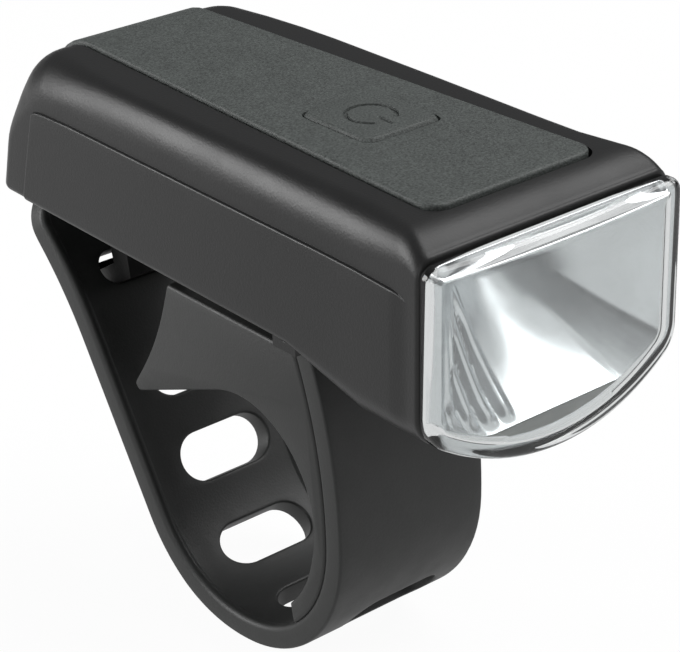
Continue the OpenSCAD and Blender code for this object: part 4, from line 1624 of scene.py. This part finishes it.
    def slots(self, bend: float) -> list[Slot]:
        """The slots, evenly spaced from the bend line both ways; the hook's peg goes through the last one.

        Args:
            bend: Distance of the tail's bend line along the strap.

        Returns:
            The slots, from the front run to the tail.
        """
        count = self.slots_each_side
        centres = [bend + self.slot_first + i * self.pitch for i in range(-count, count)]
        slots = [Slot(c - self.slot_shift, self.slot_aside, self.slot_w, self.slot_h) for c in centres[:-1]]
        slots[-1] = replace(slots[-1], centre=slots[-1].centre - self.slot_drop)
        shift, wide, tall = self.peg_slot
        return [*slots, Slot(centres[-1] + shift, 0.0, wide, tall)]

    def build(self) -> bpy.types.Object:
        """Joins plain spans and slot cells along the strap's middle line.

        Returns:
            The strap, with its finish.
        """
        track = self.track()
        bend, end = track.marks[2], track.marks[-1]
        slots = self.slots(bend)
        shape = Surface()
        rounded = self.bead * np.sin(np.linspace(self.bead_from, np.pi / 2, self.bead_rows))
        first = np.linspace(self.bead, slots[0].centre - self.cell, self.run_rows)
        run = self.span(track, np.concatenate([rounded[:-1], first]))
        shape.grid(run, wrap_columns=True).polygon(run[0, ::-1])
        for a, b in zip(slots[:-1], slots[1:]):
            between = np.linspace(a.centre + self.cell, b.centre - self.cell, self.span_rows)
            shape.grid(self.span(track, between), wrap_columns=True)
        last = np.linspace(slots[-1].centre + self.cell, end - self.tail_corner, self.span_rows)
        corner = end - self.tail_corner * (1.0 - np.sin(np.linspace(0.0, np.pi / 2, self.run_rows)))
        tip = self.span(track, np.concatenate([last[:-1], corner]))
        shape.grid(tip, wrap_columns=True).polygon(tip[-1])
        for slot in slots:
            shape.add(self.slot_cell(track, slot))
        strap = shape.build("ladder_strap", crease=40.0)
        strap.data.materials.append(Finishes.STRAP.material())
        hinge = track.at(np.array(bend))[0]
        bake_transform(strap)
        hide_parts("strap_loop", "strap_tail")
        return strap


@dataclass
class Saddle:
    """The rubber saddle between the light and the handlebar, with its thin front leg."""

    half: float = 11.2
    top_z: float = 22.6
    top_rear_y: float = 13.6
    front_r: float = 60.5
    leg_r: float = 17.1
    seat_r: float = 12.76
    seat: tuple[float, float] = (196.0, 68.0)
    leg_end: float = 230.0
    leg_taper: float = 5.0
    tip: tuple[float, float] = (20.4, 5.52)
    tip_t: float = 0.9
    sag: float = 0.9
    edge: float = 0.45
    edge_angle: float = 60.0
    screw_at: tuple[float, float] = (6.0, 8.4)
    bore_r: float = 2.7
    hole_r: float = 1.4
    seat_z: float = 17.6
    hole_reach: tuple[float, float] = (0.5, 1.0)

    def outline(self) -> Array:
        """The saddle's side: down the front by the strap, up inside the leg, round the seat and up the ramp.

        The front, the leg and the seat are arcs, and the rear is a straight run bowed by a half sine.

        Returns:
            Y and Z of the closed loop.
        """
        lift = math.degrees(math.asin((self.top_z - RUN_CENTRE[1]) / self.front_r))
        front = arc(RUN_CENTRE, self.front_r, 180.0 - lift, 180.0, 16)
        leg = arc(LOOP_CENTRE, self.leg_r, 180.0, self.leg_end, 20)[1:]
        low = arc((0.0, 0.0), self.seat_r, self.seat[0], self.seat[0], 1)[0] - LOOP_CENTRE
        low_angle = math.degrees(math.atan2(low[1], low[0])) % 360.0
        inner = arc(LOOP_CENTRE, float(np.linalg.norm(low)), self.leg_end - self.leg_taper, low_angle, 16)
        seat = arc((0.0, 0.0), self.seat_r, self.seat[0], self.seat[1], 40)[1:]
        tip = np.array([self.tip, (self.tip[0] + self.tip_t, self.tip[1] + self.tip_t)])
        ramp = seat[-1] + (tip[0] - seat[-1]) * np.linspace(0.0, 1.0, 8)[1:-1, None]
        top = np.array([self.top_rear_y, self.top_z])
        run = top - tip[1]
        t = np.linspace(0.0, 1.0, 14)[1:-1, None]
        bow = self.sag * np.sin(np.pi * t) * np.array([-run[1], run[0]]) / np.linalg.norm(run)
        return np.concatenate([front, leg, inner, seat, ramp, tip, tip[1] + run * t + bow, [top]])

    def bore(self, name: str, radius: float, x: float, z0: float, z1: float) -> bpy.types.Object:
        """An upright round cutter for a screw."""
        return upright(name, arc((x, self.screw_at[1]), radius, 0.0, 360.0, 41)[:-1], z0, z1)

    def build(self) -> bpy.types.Object:
        """Carries the side along X, rounds its edges and sinks the screws' bores.

        Returns:
            The dressed saddle.
        """
        saddle = prism("rubber_saddle", self.outline(), -self.half, self.half)
        bevel(saddle, self.edge, angle=self.edge_angle)
        settle(saddle)
        below, above = self.hole_reach
        cutters = []
        for side in Side:
            x = side.value * self.screw_at[0]
            cutters += [
                self.bore(f"bore_{side.name}", self.bore_r, x, 0.0, self.seat_z),
                self.bore(f"hole_{side.name}", self.hole_r, x, self.seat_z - below, self.top_z + above),
            ]
        carve(saddle, cutters, crease=40.0)
        dress(saddle, Finishes.STRAP, Body.LAMP, ("bar_saddle",))
        return saddle


@dataclass
class Carried:
    """CAD nodes that keep their shape and get a finish, and the cover, whose edges are rounded."""

    finishes: dict[str, Finish] = field(default_factory=lambda: {
        "lamp_chin": Finishes.CHIN, "led_emitter": Finishes.CHIP, "led_board": Finishes.LAMP_BOARD,
        "heat_sink": Finishes.SINK, "led_leads": Finishes.RED_LEAD, "battery_leads": Finishes.BLACK_LEAD,
        "tact_switch": Finishes.SWITCH, "switch_plunger": Finishes.PLUNGER, "circuit_board": Finishes.BOARD,
        "usb_socket": Finishes.SOCKET, "battery_cell": Finishes.CELL, "battery_foam": Finishes.FOAM,
        "board_screws": Finishes.STEEL, "cover_screws": Finishes.STEEL, "saddle_screws": Finishes.STEEL,
        "anchor_pin": Finishes.PIN})
    cover_merge_m: float = 1e-6
    cover_flat: float = 1.0
    cover_edge: float = 0.3

    def cover(self) -> bpy.types.Object:
        """A copy of the cover's mesh with its flat faces joined and its edges rounded.

        Returns:
            The dressed cover.
        """
        mesh = bpy.data.meshes.new("underside_cover")
        work = bmesh.new()
        work.from_mesh(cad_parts["bottom_cover"].data)
        bmesh.ops.remove_doubles(work, verts=work.verts, dist=self.cover_merge_m)
        bmesh.ops.dissolve_limit(work, angle_limit=math.radians(self.cover_flat), verts=work.verts,
                                 edges=work.edges)
        work.to_mesh(mesh)
        work.free()
        cover = bpy.data.objects.new("underside_cover", mesh)
        bpy.context.scene.collection.objects.link(cover)
        smooth(cover, crease=30.0)
        bevel(cover, self.cover_edge, segments=2)
        dress(cover, Finishes.HOUSING, Body.LAMP, ("bottom_cover",))
        return cover

    def build(self) -> list[bpy.types.Object]:
        """Gives each carried node its finish and makes the cover.

        Returns:
            The nodes and the cover.
        """
        nodes = [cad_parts[name] for name in self.finishes]
        for node, finish in zip(nodes, self.finishes.values()):
            node.data.materials.clear()
            node.data.materials.append(finish.material())
        return [*nodes, self.cover()]


@dataclass(frozen=True)
class SoftBox:
    """A soft studio lamp: its middle and its size in millimetres, and its power in watts."""

    name: str
    place: tuple[float, float, float]
    size: tuple[float, float]
    power: float

    def build(self, aim: tuple[float, float, float]) -> None:
        """Hangs up the lamp.

        Args:
            aim: The place that it faces, in millimetres.
        """
        data = bpy.data.lights.new(self.name, "AREA")
        data.shape = "RECTANGLE"
        data.size, data.size_y = self.size[0] * MM, self.size[1] * MM
        data.energy = self.power
        lamp = bpy.data.objects.new(self.name, data)
        turn = (Vector(aim) - Vector(self.place)).to_track_quat("-Z", "Y").to_matrix().to_4x4()
        lamp.matrix_world = Matrix.Translation(Vector(self.place) * MM) @ turn
        bpy.context.scene.collection.objects.link(lamp)


@dataclass
class Studio:
    """The pale floor, the soft lights and the camera at the photograph's place."""

    eye: tuple[float, float, float] = (-161.48, -194.77, 144.99)
    target: tuple[float, float, float] = (0.0, -4.923, 20.182)
    roll: float = -0.73
    focal_px: float = 2399.81
    photo_width: float = 680.0
    sensor: float = 36.0
    clip_m: tuple[float, float] = (0.01, 20.0)
    floor_z: float = -21.8
    floor_half: float = 1500.0
    floor_shade: float = 0.9
    floor_roughness: float = 0.9
    floor_specular: float = 0.1
    floor_glow: float = 0.95
    glossy_loss: float = 0.24
    horizon: Colour = (0.1, 0.1, 0.102)
    overhead: Colour = (0.45, 0.455, 0.46)
    lamp_aim: tuple[float, float, float] = (0.0, 0.0, 20.0)
    lamps: tuple[SoftBox, ...] = (
        SoftBox("overhead_box", (330.0, -120.0, 620.0), (560.0, 560.0), 3.6),
        SoftBox("rear_left_box", (-420.0, 408.0, 160.0), (260.0, 300.0), 2.4),
        SoftBox("front_left_box", (-700.0, -250.0, 260.0), (400.0, 400.0), 1.0),
        SoftBox("front_right_box", (420.0, -450.0, 400.0), (700.0, 700.0), 0.9))

    def camera(self) -> None:
        """Places the camera: it looks from eye to target, turned by its roll."""
        data = bpy.data.cameras.new("photo_camera")
        data.sensor_fit = "HORIZONTAL"
        data.sensor_width = self.sensor
        data.lens = self.focal_px / self.photo_width * self.sensor
        data.clip_start, data.clip_end = self.clip_m
        eye = Vector(self.eye) * MM
        view = (Vector(self.target) * MM - eye).normalized()
        across = view.cross(Vector((0.0, 0.0, 1.0))).normalized()
        up = across.cross(view)
        roll = math.radians(self.roll)
        right = across * math.cos(roll) + up * math.sin(roll)
        over = right.cross(view)
        turn = Matrix((right, over, -view)).transposed().to_4x4()
        camera = bpy.data.objects.new("photo_camera", data)
        camera.matrix_world = Matrix.Translation(eye) @ turn
        bpy.context.scene.collection.objects.link(camera)
        bpy.context.scene.camera = camera

    @staticmethod
    def _sum(tree: bpy.types.NodeTree, operation: str,
             *values: bpy.types.NodeSocket | float) -> bpy.types.Node:
        """Adds a node that works out one sum.

        Args:
            tree: The material's nodes and links.
            operation: Blender's name of the sum.
            values: What goes into it, as outputs of other nodes or as numbers.

        Returns:
            The node.
        """
        node = tree.nodes.new("ShaderNodeMath")
        node.operation = operation
        for socket, value in zip(node.inputs, values):
            if isinstance(value, bpy.types.NodeSocket):
                tree.links.new(value, socket)
            else:
                socket.default_value = value
        return node

    def floor_material(self) -> bpy.types.Material:
        """A pale surface that mostly glows where it is seen, through glass or in a gloss too.

        Only what is seen glows, so the floor lights the object as a plain pale floor does. In a gloss it
        glows a little less.

        Returns:
            The material.
        """
        material = bpy.data.materials.new("pale_floor")
        material.use_nodes = True
        tree = material.node_tree
        shader = tree.nodes["Principled BSDF"]
        shader.inputs["Base Color"].default_value = (*[self.floor_shade] * 3, 1.0)
        shader.inputs["Roughness"].default_value = self.floor_roughness
        shader.inputs["Specular IOR Level"].default_value = self.floor_specular
        rays = tree.nodes.new("ShaderNodeLightPath").outputs
        direct = self._sum(tree, "ADD", rays["Is Camera Ray"], rays["Is Transmission Ray"])
        seen = self._sum(tree, "ADD", direct.outputs["Value"], rays["Is Glossy Ray"])
        share = self._sum(tree, "MULTIPLY", seen.outputs["Value"], self.floor_glow)
        share.use_clamp = True
        strength = self._sum(tree, "MULTIPLY_ADD", rays["Is Glossy Ray"], -self.glossy_loss, 1.0)
        glow = tree.nodes.new("ShaderNodeEmission")
        tree.links.new(strength.outputs["Value"], glow.inputs["Strength"])
        mix = tree.nodes.new("ShaderNodeMixShader")
        tree.links.new(share.outputs["Value"], mix.inputs["Fac"])
        tree.links.new(shader.outputs["BSDF"], mix.inputs[1])
        tree.links.new(glow.outputs["Emission"], mix.inputs[2])
        tree.links.new(mix.outputs["Shader"], tree.nodes["Material Output"].inputs["Surface"])
        return material

    def floor(self) -> None:
        """Lays a large pale floor that shows nearly white and keeps a soft shadow."""
        edge = np.array([-self.floor_half, self.floor_half])
        x, y = np.meshgrid(edge, edge)
        floor = Surface().grid(np.stack([x, y, np.full(x.shape, self.floor_z)], -1)).build("pale_floor")
        floor.data.materials.append(self.floor_material())

    def world(self) -> None:
        """Sets a dim studio round the light, grey at the horizon and paler overhead."""
        world = bpy.data.worlds.new("studio")
        bpy.context.scene.world = world
        world.use_nodes = True
        nodes, links = world.node_tree.nodes, world.node_tree.links
        place = nodes.new("ShaderNodeTexCoord")
        split = nodes.new("ShaderNodeSeparateXYZ")
        ramp = nodes.new("ShaderNodeValToRGB")
        low, high = ramp.color_ramp.elements
        low.position, low.color = 0.0, (*self.horizon, 1.0)
        high.position, high.color = 1.0, (*self.overhead, 1.0)
        links.new(place.outputs["Generated"], split.inputs["Vector"])
        links.new(split.outputs["Z"], ramp.inputs["Fac"])
        links.new(ramp.outputs["Color"], nodes["Background"].inputs["Color"])
        nodes["Background"].inputs["Strength"].default_value = 1.0

    def build(self) -> None:
        """Sets up the camera, the floor, the world and the lamps."""
        bpy.context.scene.view_settings.view_transform = "Standard"
        self.camera()
        self.floor()
        self.world()
        for lamp in self.lamps:
            lamp.build(self.lamp_aim)


def main() -> None:
    """Builds the studio and the light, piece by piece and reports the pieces."""
    logging.basicConfig(level=logging.INFO, format="%(name)s: %(message)s")
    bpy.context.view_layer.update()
    Studio().build()
    rubber, housing = TopRubber(), Housing()
    pieces = [housing.build(rubber.recess(housing.pad_gap)), *rubber.build(), *LampFront().build(),
              Strap().build(), Saddle().build(), *Carried().build()]
    for piece in pieces:
        log.info("%s is in place in %s", piece.name, piece.data.materials[0].name)


if __name__ == "__main__":
    main()
